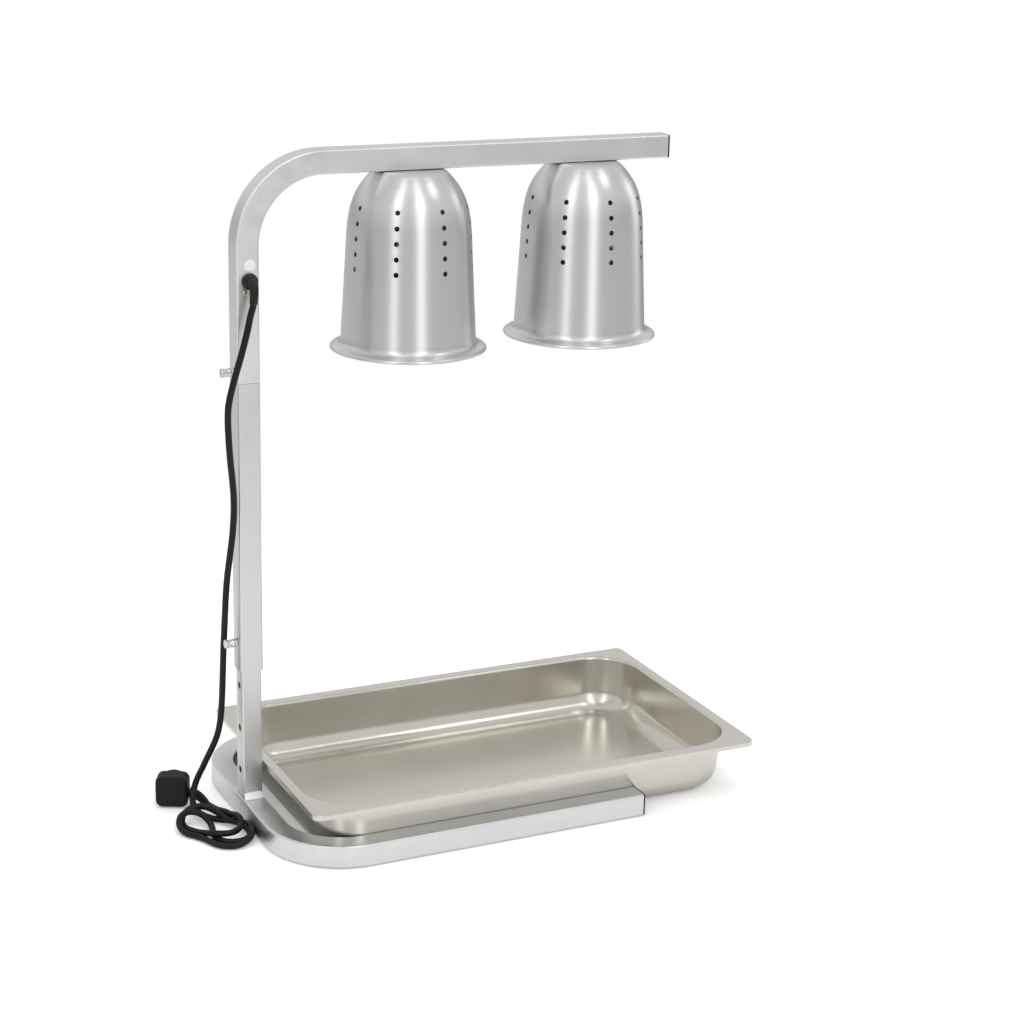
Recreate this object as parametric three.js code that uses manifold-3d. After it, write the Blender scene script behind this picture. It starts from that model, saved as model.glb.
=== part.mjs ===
// Two-lamp carving and food warmer: a U-shaped base of square tube, a two-stage square mast with
// spring plungers, a gooseneck arm with two spun aluminium lamp shades, and a full-size
// gastronorm pan that stands on the table between the arms of the base.
// Millimetres, +Z up. The mast stands on the middle of the base's crossbar, the arm runs along +X.
import * as THREE from "three";
import { mergeVertices } from "three/addons/utils/BufferGeometryUtils.js";
import Module from "manifold-3d";

const wasm = await Module();
wasm.setup();

// ---------------------------------------------------------------- driving dimensions
const GAP = 0.3; // clearance between neighbouring solids
// everything is laid out from the mast's axis, then moved so that the origin is at the
// middle of the whole footprint, on the table
const CENTRE_X = 258.9;

const TUBE = 25; // square tube of the base, sleeve and arm
const TUBE_R = 2.2; // its outer corner radius
const TUBE_BORE = 22.2;
const PAD_T = 1.0; // the base stands this far off the table
const BASE_W = 338; // across the two arms of the base
const BASE_END_X = 399; // open ends of the base's arms
const BASE_BEND_R = 75.5; // centreline radius of the two bends
const BASE_TOP = PAD_T + TUBE;

const POST = 21.4; // lower post and spigot, square tube
const POST_R = 1.5;
const POST_BORE = 18.4;
const POST_TOP = 280;
const PITCH = 49; // height steps
const HOLE_Z = [57.5, 106.5, 155.5, 204.5]; // holes in the post's back face
const HOLE_D = 8.6;

const SLEEVE_Z0 = 174;
const SEAM_Z = 491; // top of the sleeve, foot of the arm tube
const SPIGOT_Z0 = 431;
const SPIGOT_Z1 = 556;
const PLUNGER_LOW_Z = 204.5;
const PLUNGER_UP_Z = 501.5;

const ARM_TOP = 728;
const ARM_BEND_R = 83.5; // centreline radius
const ARM_END_X = 484;

const LAMP_X = [183.3, 387.7];
const LAMP_TURN = [10.6, 1.0]; // degrees: how the columns of vents are turned on each lamp
const ARM_UNDER = ARM_TOP - TUBE;

const GLAND = [1.9, 597.9]; // x, z on the arm tube's front face
const SCREW = [-3.1, 586.4];
const LABEL = [2.1, 614.4];

const PAN_X = 279;
const PAN_L = 530; // gastronorm 1/1
const PAN_W = 325;
const PAN_H = 65;
const PAN_T = 0.9;

const CORD_D = 7;

// ---------------------------------------------------------------- finishes
const paint = (color, roughness, metalness) =>
  new THREE.MeshStandardMaterial({ color, roughness, metalness });
const ALU = paint(0xd4d6d8, 0.34, 1);
const SPUN = paint(0xcfd0d0, 0.3, 1);
const STEEL = paint(0xb9b4a6, 0.28, 1);
const ZINC = paint(0xc4c6c8, 0.35, 1);
const BRASS = paint(0xb39a55, 0.4, 1);
const BLACK = paint(0x17181a, 0.5, 0);
const CORDMAT = paint(0x141416, 0.55, 0);
const RUBBER = paint(0x1c1c1e, 0.8, 0);
const CERAMIC = paint(0xece8df, 0.35, 0);
const WHITE = paint(0xf0f1f1, 0.45, 0);
const BULB = paint(0xd6d2c8, 0.12, 0.2);

const root = new THREE.Group();
const all = new THREE.Group();
all.position.x = -CENTRE_X;
root.add(all);

// ---------------------------------------------------------------- helpers
const bare = (g) => {
  const c = g.clone();
  c.deleteAttribute("normal");
  c.deleteAttribute("uv");
  return c.index ? c : mergeVertices(c, 1e-4);
};
function toSolid(g) {
  const m = mergeVertices(bare(g), 1e-4);
  return new wasm.Manifold(
    new wasm.Mesh({
      numProp: 3,
      vertProperties: new Float32Array(m.attributes.position.array),
      triVerts: new Uint32Array(m.index.array),
    }),
  );
}
function toGeometry(s) {
  const m = s.getMesh();
  const g = new THREE.BufferGeometry();
  const v = new Float32Array(m.numVert * 3);
  for (let i = 0; i < m.numVert; i++)
    v.set(m.vertProperties.subarray(i * m.numProp, i * m.numProp + 3), i * 3);
  g.setAttribute("position", new THREE.BufferAttribute(v, 3));
  g.setIndex(new THREE.BufferAttribute(new Uint32Array(m.triVerts), 1));
  return g;
}
const cut = (g, ...tools) =>
  toGeometry(tools.reduce((s, t) => s.subtract(toSolid(t)), toSolid(g)));
const join = (g, ...others) =>
  toGeometry(others.reduce((s, t) => s.add(toSolid(t)), toSolid(g)));

function add(name, geometry, material) {
  const g = bare(geometry);
  g.computeVertexNormals();
  const mesh = new THREE.Mesh(g, material);
  mesh.name = name;
  all.add(mesh);
  return mesh;
}

// a square with round corners, centred on the origin
function squarePoints(side, r, segs) {
  const h = side / 2 - r;
  const pts = [];
  [
    [h, h, 0],
    [-h, h, 90],
    [-h, -h, 180],
    [h, -h, 270],
  ].forEach(([x, y, a]) => {
    for (let i = 0; i <= segs; i++) {
      const t = ((a + (90 * i) / segs) * Math.PI) / 180;
      pts.push(new THREE.Vector2(x + r * Math.cos(t), y + r * Math.sin(t)));
    }
  });
  return pts;
}
function tubeShape(outer, r, bore, segs = 2) {
  const s = new THREE.Shape(squarePoints(outer, r, segs));
  if (bore)
    s.holes.push(
      new THREE.Path(squarePoints(bore, Math.max(0.5, r - 1.2), 1).reverse()),
    );
  return s;
}
// a curve that is read at given stations, each with its own tangent, so that rings stand
// only where the tube bends
class StationCurve extends THREE.Curve {
  constructor(stations) {
    super();
    this.stations = stations;
  }
  at(u) {
    const n = this.stations.length - 1;
    return this.stations[Math.max(0, Math.min(n, Math.round(u * n)))];
  }
  getPoint(u, target = new THREE.Vector3()) {
    return target.copy(this.at(u)[0]);
  }
  getPointAt(u, target = new THREE.Vector3()) {
    return target.copy(this.at(u)[0]);
  }
  getTangent(u, target = new THREE.Vector3()) {
    return target.copy(this.at(u)[1]);
  }
  getTangentAt(u, target = new THREE.Vector3()) {
    return target.copy(this.at(u)[1]);
  }
}
const sweep = (shape, stations) =>
  new THREE.ExtrudeGeometry(shape, {
    steps: stations.length - 1,
    extrudePath: new StationCurve(stations),
    bevelEnabled: false,
  });
const V = (x, y, z) => new THREE.Vector3(x, y, z);
// a straight square tube standing along +Z
function uprightTube(outer, r, bore, z0, z1) {
  return new THREE.ExtrudeGeometry(tubeShape(outer, r, bore), {
    depth: z1 - z0,
    bevelEnabled: false,
    curveSegments: 2,
  }).translate(0, 0, z0);
}
// cylinders along each axis, from a to b
function rodX(d, a, b, y, z, segs = 20) {
  return new THREE.CylinderGeometry(d / 2, d / 2, Math.abs(b - a), segs)
    .rotateZ(Math.PI / 2)
    .translate((a + b) / 2, y, z);
}
function rodY(d, a, b, x, z, segs = 20, d2 = d) {
  // d at the low end of y, d2 at the high end
  return new THREE.CylinderGeometry(d2 / 2, d / 2, Math.abs(b - a), segs).translate(
    x,
    (a + b) / 2,
    z,
  );
}
function rodZ(d, a, b, x, y, segs = 20) {
  return new THREE.CylinderGeometry(d / 2, d / 2, Math.abs(b - a), segs)
    .rotateX(Math.PI / 2)
    .translate(x, y, (a + b) / 2);
}
// a body of revolution about +Z; the profile is [radius, z] pairs that start and end on the
// axis or close on themselves, going round so that the faces point out
function turned(profile, segs) {
  const g = new THREE.LatheGeometry(
    profile.map(([r, z]) => new THREE.Vector2(r, z)),
    segs,
  );
  g.rotateX(Math.PI / 2);
  return g;
}
function lathe(profile, segs) {
  // a lathe's rings meet at the seam and on the axis: merge them and turn the body the right
  // way out
  const g = mergeVertices(bare(turned(profile, segs)), 1e-4);
  const idx = [];
  const a = g.index.array;
  for (let i = 0; i < a.length; i += 3)
    if (a[i] !== a[i + 1] && a[i + 1] !== a[i + 2] && a[i] !== a[i + 2])
      idx.push(a[i], a[i + 1], a[i + 2]);
  g.setIndex(idx);
  return outward(g);
}
function outward(g) {
  const p = g.attributes.position.array;
  const a = Array.from(g.index.array);
  let vol = 0;
  for (let i = 0; i < a.length; i += 3) {
    const [x1, y1, z1] = p.slice(a[i] * 3, a[i] * 3 + 3);
    const [x2, y2, z2] = p.slice(a[i + 1] * 3, a[i + 1] * 3 + 3);
    const [x3, y3, z3] = p.slice(a[i + 2] * 3, a[i + 2] * 3 + 3);
    vol +=
      x1 * (y2 * z3 - y3 * z2) - y1 * (x2 * z3 - x3 * z2) + z1 * (x2 * y3 - x3 * y2);
  }
  if (vol < 0)
    for (let i = 0; i < a.length; i += 3) [a[i + 1], a[i + 2]] = [a[i + 2], a[i + 1]];
  g.setIndex(a);
  return g;
}
// a skin through rings of equal point counts; closed at both ends by flat faces
function loft(rings, closedLoop = false) {
  const n = rings[0].length;
  const pos = [];
  rings.forEach((r) => r.forEach((q) => pos.push(q.x, q.y, q.z)));
  const idx = [];
  const m = rings.length;
  for (let i = 0; i < (closedLoop ? m : m - 1); i++)
    for (let j = 0; j < n; j++) {
      const a = i * n + j;
      const b = i * n + ((j + 1) % n);
      const c = ((i + 1) % m) * n + j;
      const d = ((i + 1) % m) * n + ((j + 1) % n);
      idx.push(a, b, d, a, d, c);
    }
  if (!closedLoop) {
    const cap = (ring, base, flip) => {
      const mid = ring.reduce((s, q) => s.add(q), V(0, 0, 0)).multiplyScalar(1 / n);
      const k = pos.length / 3;
      pos.push(mid.x, mid.y, mid.z);
      for (let j = 0; j < n; j++) {
        const a = base + j;
        const b = base + ((j + 1) % n);
        if (flip) idx.push(k, b, a);
        else idx.push(k, a, b);
      }
    };
    cap(rings[0], 0, true);
    cap(rings[m - 1], (m - 1) * n, false);
  }
  const g = new THREE.BufferGeometry();
  g.setAttribute("position", new THREE.Float32BufferAttribute(pos, 3));
  g.setIndex(idx);
  return outward(g);
}
// a round bar along points, with a radius at each; its ends may be given a direction to face
function roundBar(points, radii, segs, startDir = null, endDir = null) {
  const curve = new THREE.CatmullRomCurve3(points, false, "centripetal");
  const rings = [];
  let n = null;
  points.forEach((q, i) => {
    let t = curve.getTangent(i / (points.length - 1)).normalize();
    if (i === 0 && startDir) t = startDir.clone().normalize();
    if (i === points.length - 1 && endDir) t = endDir.clone().normalize();
    if (!n) {
      n = Math.abs(t.z) < 0.9 ? V(0, 0, 1) : V(1, 0, 0);
    }
    n.sub(t.clone().multiplyScalar(n.dot(t))).normalize();
    const b = t.clone().cross(n);
    const ring = [];
    for (let k = 0; k < segs; k++) {
      const a = (2 * Math.PI * k) / segs;
      ring.push(
        q
          .clone()
          .add(n.clone().multiplyScalar(radii[i] * Math.cos(a)))
          .add(b.clone().multiplyScalar(radii[i] * Math.sin(a))),
      );
    }
    rings.push(ring);
  });
  return loft(rings);
}

// ---------------------------------------------------------------- base
{
  const z = PAD_T + TUBE / 2;
  const y = BASE_W / 2 - TUBE / 2;
  const st = [];
  const n = 9;
  st.push([V(BASE_END_X, -y, z), V(-1, 0, 0)]);
  for (let i = 0; i <= n; i++) {
    const a = (Math.PI / 2) * (i / n);
    st.push([
      V(
        BASE_BEND_R - BASE_BEND_R * Math.sin(a),
        -y + BASE_BEND_R - BASE_BEND_R * Math.cos(a),
        z,
      ),
      V(-Math.cos(a), Math.sin(a), 0),
    ]);
  }
  for (let i = 0; i <= n; i++) {
    const a = (Math.PI / 2) * (i / n);
    st.push([
      V(
        BASE_BEND_R - BASE_BEND_R * Math.cos(a),
        y - BASE_BEND_R + BASE_BEND_R * Math.sin(a),
        z,
      ),
      V(Math.sin(a), Math.cos(a), 0),
    ]);
  }
  st.push([V(BASE_END_X, y, z), V(1, 0, 0)]);
  add("base_frame", sweep(tubeShape(TUBE, TUBE_R, TUBE_BORE), st), ALU);

  // black end caps: a plate on the tube's end with a plug inside it
  for (const [name, s] of [
    ["base_end_cap_near", -1],
    ["base_end_cap_far", 1],
  ]) {
    const plate = new THREE.ExtrudeGeometry(tubeShape(TUBE, TUBE_R, 0), {
      depth: 1.9,
      bevelEnabled: false,
    });
    const plug = new THREE.ExtrudeGeometry(tubeShape(TUBE_BORE - 0.8, 1.2, 0, 1), {
      depth: 12,
      bevelEnabled: false,
    }).translate(0, 0, -11.5);
    add(
      name,
      join(plate, plug).rotateY(Math.PI / 2).translate(BASE_END_X + GAP, s * y, z),
      BLACK,
    );
  }
  // thin round pads under the base
  for (const [name, px, py] of [
    ["foot_pad_near_end", 380, -y],
    ["foot_pad_far_end", 380, y],
    ["foot_pad_near_bend", 48, -y + 5],
    ["foot_pad_far_bend", 48, y - 5],
  ])
    add(name, rodZ(17, 0, PAD_T - GAP, px, py, 20), RUBBER);
}

// ---------------------------------------------------------------- lower post
{
  const holes = HOLE_Z.map((z) => rodX(HOLE_D, -14, -6, 0, z, 16));
  add(
    "lower_post",
    cut(uprightTube(POST, POST_R, POST_BORE, BASE_TOP + GAP, POST_TOP), ...holes),
    ALU,
  );
  // ground fillet welds at its foot, front and back
  for (const [name, s] of [
    ["post_weld_front", -1],
    ["post_weld_back", 1],
  ]) {
    const f = new THREE.Shape([
      new THREE.Vector2(0, 0),
      new THREE.Vector2(5.2, 0),
      new THREE.Vector2(5.2, 0.7),
      new THREE.Vector2(2.2, 3.0),
      new THREE.Vector2(0.7, 7.0),
      new THREE.Vector2(0, 7.0),
    ]);
    const g = new THREE.ExtrudeGeometry(f, { depth: 20.6, bevelEnabled: false });
    // outline x to the outside, y up, depth along x
    g.rotateX(Math.PI / 2); // (x, y, d) to (x, -d, y)
    g.rotateZ(-Math.PI / 2); // x to -y, -d to -x
    g.translate(10.3, -POST / 2 - GAP, BASE_TOP + GAP);
    if (s > 0) g.rotateZ(Math.PI);
    add(name, g, ALU);
  }
}

// ---------------------------------------------------------------- mast sleeve, spigot, arm
const face = TUBE / 2;
{
  add(
    "mast_sleeve",
    cut(
      uprightTube(TUBE, TUBE_R, TUBE_BORE, SLEEVE_Z0, SEAM_Z - GAP / 2),
      rodX(7, -20, -6, 0, PLUNGER_LOW_Z, 16),
    ),
    ALU,
  );
  add(
    "spigot",
    cut(
      uprightTube(POST, POST_R, POST_BORE, SPIGOT_Z0, SPIGOT_Z1),
      rodX(6.6, -20, -6, 0, PLUNGER_UP_Z, 16),
    ),
    ALU,
  );

  const st = [];
  const n = 11;
  const zc = ARM_TOP - TUBE / 2;
  st.push([V(0, 0, SEAM_Z + GAP / 2), V(0, 0, 1)]);
  for (let i = 0; i <= n; i++) {
    const a = (Math.PI / 2) * (i / n);
    st.push([
      V(
        ARM_BEND_R - ARM_BEND_R * Math.cos(a),
        0,
        zc - ARM_BEND_R + ARM_BEND_R * Math.sin(a),
      ),
      V(Math.sin(a), 0, Math.cos(a)),
    ]);
  }
  st.push([V(ARM_END_X, 0, zc), V(1, 0, 0)]);
  add(
    "arm_tube",
    cut(
      sweep(tubeShape(TUBE, TUBE_R, TUBE_BORE), st),
      rodX(7, -20, -6, 0, PLUNGER_UP_Z, 16),
      rodY(12.4, -20, -6, GLAND[0], GLAND[1], 16),
      rodY(3.4, -20, -6, SCREW[0], SCREW[1], 10),
      rodZ(10.8, ARM_UNDER - 5, ARM_UNDER + 6, LAMP_X[0], 0, 16),
      rodZ(10.8, ARM_UNDER - 5, ARM_UNDER + 6, LAMP_X[1], 0, 16),
    ),
    ALU,
  );
  const plate = new THREE.ExtrudeGeometry(tubeShape(TUBE, TUBE_R, 0), {
    depth: 1.9,
    bevelEnabled: false,
  });
  const plug = new THREE.ExtrudeGeometry(tubeShape(TUBE_BORE - 0.8, 1.2, 0, 1), {
    depth: 12,
    bevelEnabled: false,
  }).translate(0, 0, -11.5);
  add(
    "arm_end_cap",
    join(plate, plug).rotateY(Math.PI / 2).translate(ARM_END_X + GAP, 0, zc),
    BLACK,
  );
}

// ---------------------------------------------------------------- plungers
// a threaded bush fixed to the tube, and a spool-shaped knob with its pin
function plunger(tag, z, tip) {
  const bush = cut(rodX(9.4, -15.6, -face - GAP, 0, z, 16), rodX(6.4, -20, -8, 0, z, 14));
  add("plunger_bush_" + tag, bush, ZINC);
  // profile along the pin: [radius, distance from the tip]
  const a = -tip; // pin's tip, as a distance to -X
  const k0 = 15.9;
  const k1 = 26.2;
  const prof = [
    [0, a],
    [2.2, a],
    [2.9, a + 0.9],
    [2.9, k0],
    [4.2, k0],
    [4.9, k0 + 0.6],
    [4.9, k0 + 2.0],
    [4.3, k0 + 2.6],
    [4.3, k1 - 2.4],
    [4.9, k1 - 1.8],
    [4.9, k1 - 0.5],
    [4.4, k1],
    [0, k1],
  ];
  const g = lathe(prof, 14); // along +Z
  g.rotateY(-Math.PI / 2); // +Z to -X
  g.translate(0, 0, z);
  add("plunger_knob_" + tag, g, ZINC);
}
plunger("lower", PLUNGER_LOW_Z, -11.1);
plunger("upper", PLUNGER_UP_Z, -9.0);

// ---------------------------------------------------------------- cable gland, earth screw, disc
const CORD_START = V(0.4, -28.0, 576.5);
{
  const [gx, gz] = GLAND;
  const flange = rodY(17, -face - GAP - 3.2, -face - GAP, gx, gz, 24);
  const neck = rodY(11.6, -face - GAP - 1, -8.6, gx, gz, 16);
  const dome = rodY(10.5, -face - GAP - 7.2, -face - GAP - 3, gx, gz, 24, 16);
  add("cable_gland", join(flange, neck, dome), BLACK);
  // moulded elbow that turns the cord down
  const y0 = -face - GAP - 7.2 - GAP;
  add(
    "strain_relief",
    roundBar(
      [
        V(gx, y0, gz),
        V(gx, y0 - 2.2, gz - 0.5),
        V(gx - 0.1, y0 - 4.7, gz - 2.6),
        V(gx - 0.3, y0 - 6.6, gz - 6.0),
        V(gx - 0.7, y0 - 7.6, gz - 10.5),
        V(gx - 1.1, y0 - 7.75, gz - 16),
        V(CORD_START.x + 0.1, CORD_START.y, CORD_START.z + 0.4),
      ],
      [5.0, 5.0, 4.9, 4.7, 4.5, 4.3, 4.0],
      14,
      V(0, -1, 0),
      V(-3.3, -0.25, -15.4),
    ),
    BLACK,
  );
  const [sx, sz] = SCREW;
  const screw = lathe(
    [
      [0, 0],
      [1.5, 0],
      [1.5, 7],
      [2.7, 7],
      [2.7, 8.2],
      [2.1, 9.2],
      [0, 9.5],
    ],
    14,
  );
  screw.rotateX(Math.PI / 2); // +Z to -Y
  screw.translate(sx, -face - GAP + 7, sz);
  add("earth_screw", screw, BRASS);
  add("marking_disc", rodY(12.6, -face - GAP - 0.4, -face - GAP, LABEL[0], LABEL[1], 28), WHITE);
}

// ---------------------------------------------------------------- lamps
// outer profile of the spun shade, [radius, z], from the flat top down to the rim
const SHADE_OUT = [
  [5.4, 702.7],
  [37.5, 702.7],
  [43.6, 696.8],
  [51.8, 685.6],
  [58.4, 675.0],
  [63.3, 658.5],
  [65.5, 642.5],
  [67.2, 611.0],
  [71.9, 524.5],
  [73.6, 519.6],
  [81.6, 516.2],
  [83.8, 514.2],
  [83.0, 512.2],
];
const SHADE_IN = [
  [81.4, 514.2],
  [72.8, 517.8],
  [70.9, 524.3],
  [66.2, 611.0],
  [64.5, 642.5],
  [62.3, 658.3],
  [57.5, 674.5],
  [51.0, 685.0],
  [42.9, 696.0],
  [37.1, 701.7],
  [5.4, 701.7],
];
const SHADE_SEGS = 24;
const VENT_Z = [666.5, 650.5, 634.6, 618.7, 603.0];
LAMP_X.forEach((lx, i) => {
  const tag = i === 0 ? "left" : "right";
  const prof = [...SHADE_OUT, ...SHADE_IN, SHADE_OUT[0]];
  const vents = [];
  VENT_Z.forEach((z) => {
    for (let k = 0; k < 4; k++) {
      const a = ((LAMP_TURN[i] + 45 * k) * Math.PI) / 180;
      // one drill goes through both walls
      vents.push(
        new THREE.CylinderGeometry(2.7, 2.7, 180, 6)
          .rotateX(Math.PI / 2)
          .rotateY(Math.PI / 2)
          .rotateZ(a)
          .translate(0, 0, z),
      );
    }
  });
  // turned so that each vent falls inside one facet
  const body = lathe(prof, SHADE_SEGS).rotateZ(
    ((LAMP_TURN[i] + 180 / SHADE_SEGS) * Math.PI) / 180,
  );
  const shell = cut(body, ...vents).translate(lx, 0, 0);
  add("shade_" + tag, shell, SPUN);

  // threaded tube that hangs the lamp from the arm, with its two nuts
  add("nipple_" + tag, rodZ(10, 690.4, 711, lx, 0, 16), ZINC);
  const hex = (z0, z1) =>
    cut(
      new THREE.CylinderGeometry(8.2, 8.2, z1 - z0, 6)
        .rotateX(Math.PI / 2)
        .translate(lx, 0, (z0 + z1) / 2),
      rodZ(10.6, z0 - 2, z1 + 2, lx, 0, 16),
    );
  add("nut_arm_" + tag, hex(ARM_UNDER + 1.4 + GAP, ARM_UNDER + 6), ZINC);
  add("nut_shade_" + tag, hex(697.2, 701.4), ZINC);

  // ceramic screw socket with a blind bore for the nipple on top and the lamp cap below
  const socket = lathe(
    [
      [0, 688.5],
      [5.4, 688.5],
      [5.4, 696.9],
      [12.5, 696.9],
      [15.5, 694.0],
      [19.5, 690.0],
      [21.0, 682.0],
      [21.0, 662.0],
      [19.5, 652.0],
      [14.0, 652.0],
      [14.0, 684.0],
      [0, 684.0],
    ],
    18,
  ).translate(lx, 0, 0);
  add("socket_" + tag, socket, CERAMIC);

  // infrared reflector bulb
  add(
    "bulb_cap_" + tag,
    lathe(
      [
        [0, 683.4],
        [4.5, 683.4],
        [6.0, 680.5],
        [12.6, 677.0],
        [13.1, 674.0],
        [13.1, 656.0],
        [13.6, 652.4],
        [13.6, 648.2],
        [0, 648.2],
      ],
      16,
    ).translate(lx, 0, 0),
    ZINC,
  );
  add(
    "bulb_" + tag,
    lathe(
      [
        [0, 647.9],
        [14.2, 647.9],
        [15.5, 643.0],
        [20.0, 633.0],
        [30.0, 617.0],
        [42.0, 598.0],
        [50.5, 580.0],
        [56.0, 562.0],
        [58.0, 549.0],
        [56.0, 540.5],
        [50.0, 535.0],
        [36.0, 530.0],
        [18.0, 527.6],
        [0, 527.0],
      ],
      20,
    ).translate(lx, 0, 0),
    BULB,
  );
});

// ---------------------------------------------------------------- gastronorm pan
{
  // half sizes of the rounded rectangle at each step of the section: [half length, half width,
  // corner radius, z]
  const seg = 4;
  const ring = ([hl, hw, r, z]) => {
    const pts = [];
    [
      [1, 1, 0],
      [-1, 1, 90],
      [-1, -1, 180],
      [1, -1, 270],
    ].forEach(([sx, sy, a]) => {
      for (let i = 0; i <= seg; i++) {
        const t = ((a + (90 * i) / seg) * Math.PI) / 180;
        pts.push(
          V(
            PAN_X + sx * (hl - r) + r * Math.cos(t),
            sy * (hw - r) + r * Math.sin(t),
            z,
          ),
        );
      }
    });
    return pts;
  };
  const HL = PAN_L / 2;
  const HW = PAN_W / 2;
  const OL = 252.5; // half of the opening
  const OW = 147.5;
  const t = PAN_T;
  const wall = Math.tan((6.0 * Math.PI) / 180);
  const at = (z) => (PAN_H - z) * wall; // how far the wall leans in at height z
  const outerWall = (z, r) => [OL + t - at(z), OW + t - at(z), r, z];
  const sections = [
    // up the outside of the turned-down edge, over the flange, into the bowl
    [HL, HW, 9, 58.6],
    [HL, HW, 9, 63.6],
    [HL - 0.4, HW - 0.4, 8.6, 64.6],
    [HL - 1.4, HW - 1.4, 7.6, PAN_H],
    [OL + 3.2, OW + 3.2, 57, PAN_H],
    [OL + 0.9, OW + 0.9, 55.5, PAN_H - 0.7],
    [OL - 0.4, OW - 0.4, 54.5, PAN_H - 3.2],
    [OL - at(27), OW - at(27), 51, 27],
    [OL - at(16) - 1.6, OW - at(16) - 1.6, 49, 14.5],
    [OL - at(8) - 7.8, OW - at(8) - 7.8, 43, 5.6],
    [OL - at(8) - 14.5, OW - at(8) - 14.5, 37, 2.1],
    [OL - at(8) - 22.5, OW - at(8) - 22.5, 30, t],
  ];
  const under = [
    [OL - at(8) - 22.5, OW - at(8) - 22.5, 30, 0],
    [OL - at(8) - 13.9, OW - at(8) - 13.9, 37, 1.2],
    [OL - at(8) - 7.0, OW - at(8) - 7.0, 43, 5.0],
    [OL - at(16) - 0.7, OW - at(16) - 0.7, 49, 14.2],
    outerWall(27, 52),
    [OL + 0.5, OW + 0.5, 55.5, PAN_H - 3.6],
    [OL + 1.5, OW + 1.5, 56, PAN_H - 1.5],
    [OL + 3.6, OW + 3.6, 57, PAN_H - t],
    [HL - 1.6, HW - 1.6, 7.4, PAN_H - t],
    [HL - t, HW - t, 8.1, 63.4],
    [HL - t, HW - t, 8.1, 58.6],
  ];
  const rings = [...sections, ...under].map(ring);
  // one skin that goes from the floor's inside, up, over and under to the floor's outside
  const order = [
    ...rings.slice(0, sections.length).reverse(),
    ...rings.slice(sections.length).reverse(),
  ];
  // order now runs: inside floor edge ... outer edge, then inner face of the edge ... under floor
  add("gastronorm_pan", loft(order), STEEL);
}

// ---------------------------------------------------------------- supply cord
// centre of the cord from the strain relief, past the mast, down to the hank on the table
const DROP = [
  [0.4, -28.0, 576.5],
  [-3.2, -28.3, 561.1],
  [-7.8, -28.8, 545.6],
  [-12.5, -29.6, 530.3],
  [-17.3, -30.1, 515.0],
  [-21.9, -29.9, 499.7],
  [-25.9, -29.2, 484.3],
  [-28.2, -28.0, 468.5],
  [-27.9, -26.4, 452.6],
  [-26.8, -24.7, 436.7],
  [-25.3, -22.8, 420.9],
  [-23.4, -20.9, 405.1],
  [-21.4, -18.9, 389.4],
  [-19.7, -16.7, 373.6],
  [-18.9, -14.5, 357.8],
  [-18.9, -12.2, 342.0],
  [-19.5, -9.6, 326.2],
  [-20.6, -6.7, 310.5],
  [-21.7, -3.6, 294.8],
  [-22.7, -0.6, 279.1],
  [-23.1, 2.2, 263.4],
  [-23.3, 4.9, 247.6],
  [-23.3, 7.4, 231.8],
  [-23.3, 10.0, 216.0],
  [-23.4, 12.4, 200.2],
  [-23.4, 14.5, 184.4],
  [-23.4, 16.3, 168.5],
  [-23.5, 18.0, 152.5],
  [-23.7, 19.6, 136.6],
  [-24.3, 21.2, 120.7],
  [-25.7, 22.8, 104.9],
  [-28.7, 25.1, 89.3],
  [-33.6, 28.4, 74.5],
  [-39.2, 32.2, 60.0],
  [-43.6, 37.7, 45.6],
  [-48.3, 41.6, 31.1],
  [-54.0, 35.5, 17.8],
  [-56.2, 21.8, 10.3],
];
// centre of the short run from the plug's strain relief back into the hank
const TAIL = [
  [-38.0, 36.2, 6.1],
  [-36.2, 30.5, 5.6],
  [-34.5, 24.0, 5.6],
  [-33.1, 17.7, 5.9],
  [-31.4, 9.0, 6.4],
];
// the tied hank, in plan: the hull of two circles, [x, y, radius]
const HANK = [
  [-60, -6, 28.4],
  [-48.2, -42.0, 35.0],
];
const HANK_Z0 = 0.2;
const HANK_Z1 = 24;
function hankOutline(extra) {
  const pts = [];
  const [[ax, ay, ar], [bx, by, br]] = HANK;
  const d = Math.hypot(bx - ax, by - ay);
  const dir = Math.atan2(by - ay, bx - ax);
  const lean = Math.acos((ar - br) / d); // where the common tangent touches
  const arc = (x, y, r, a0, a1, n) => {
    for (let i = 0; i <= n; i++) {
      const a = a0 + ((a1 - a0) * i) / n;
      pts.push(new THREE.Vector2(x + (r + extra) * Math.cos(a), y + (r + extra) * Math.sin(a)));
    }
  };
  arc(ax, ay, ar, dir + lean, dir + 2 * Math.PI - lean, 14);
  arc(bx, by, br, dir - lean, dir + lean, 14);
  return new THREE.Shape(pts);
}
const hankSolid = (extra) =>
  new THREE.ExtrudeGeometry(hankOutline(extra), {
    depth: HANK_Z1 - HANK_Z0 + 2 * extra,
    bevelEnabled: false,
  }).translate(0, 0, HANK_Z0 - extra);
function cordTube(points) {
  const q = points.map(([x, y, z]) => V(x, y, z));
  const curve = new THREE.CatmullRomCurve3(q, false, "centripetal");
  const st = q.map((v, i) => [v, curve.getTangent(i / (q.length - 1)).normalize()]);
  const section = [];
  for (let k = 0; k < 10; k++)
    section.push(
      new THREE.Vector2(
        (CORD_D / 2) * Math.cos((k * Math.PI) / 5),
        (CORD_D / 2) * Math.sin((k * Math.PI) / 5),
      ),
    );
  return sweep(new THREE.Shape(section), st);
}
add("cord_drop", cut(cordTube(DROP), hankSolid(GAP)), CORDMAT);
add("cord_hank", hankSolid(0), CORDMAT);
add("cord_tail", cut(cordTube(TAIL), hankSolid(GAP)), CORDMAT);

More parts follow.
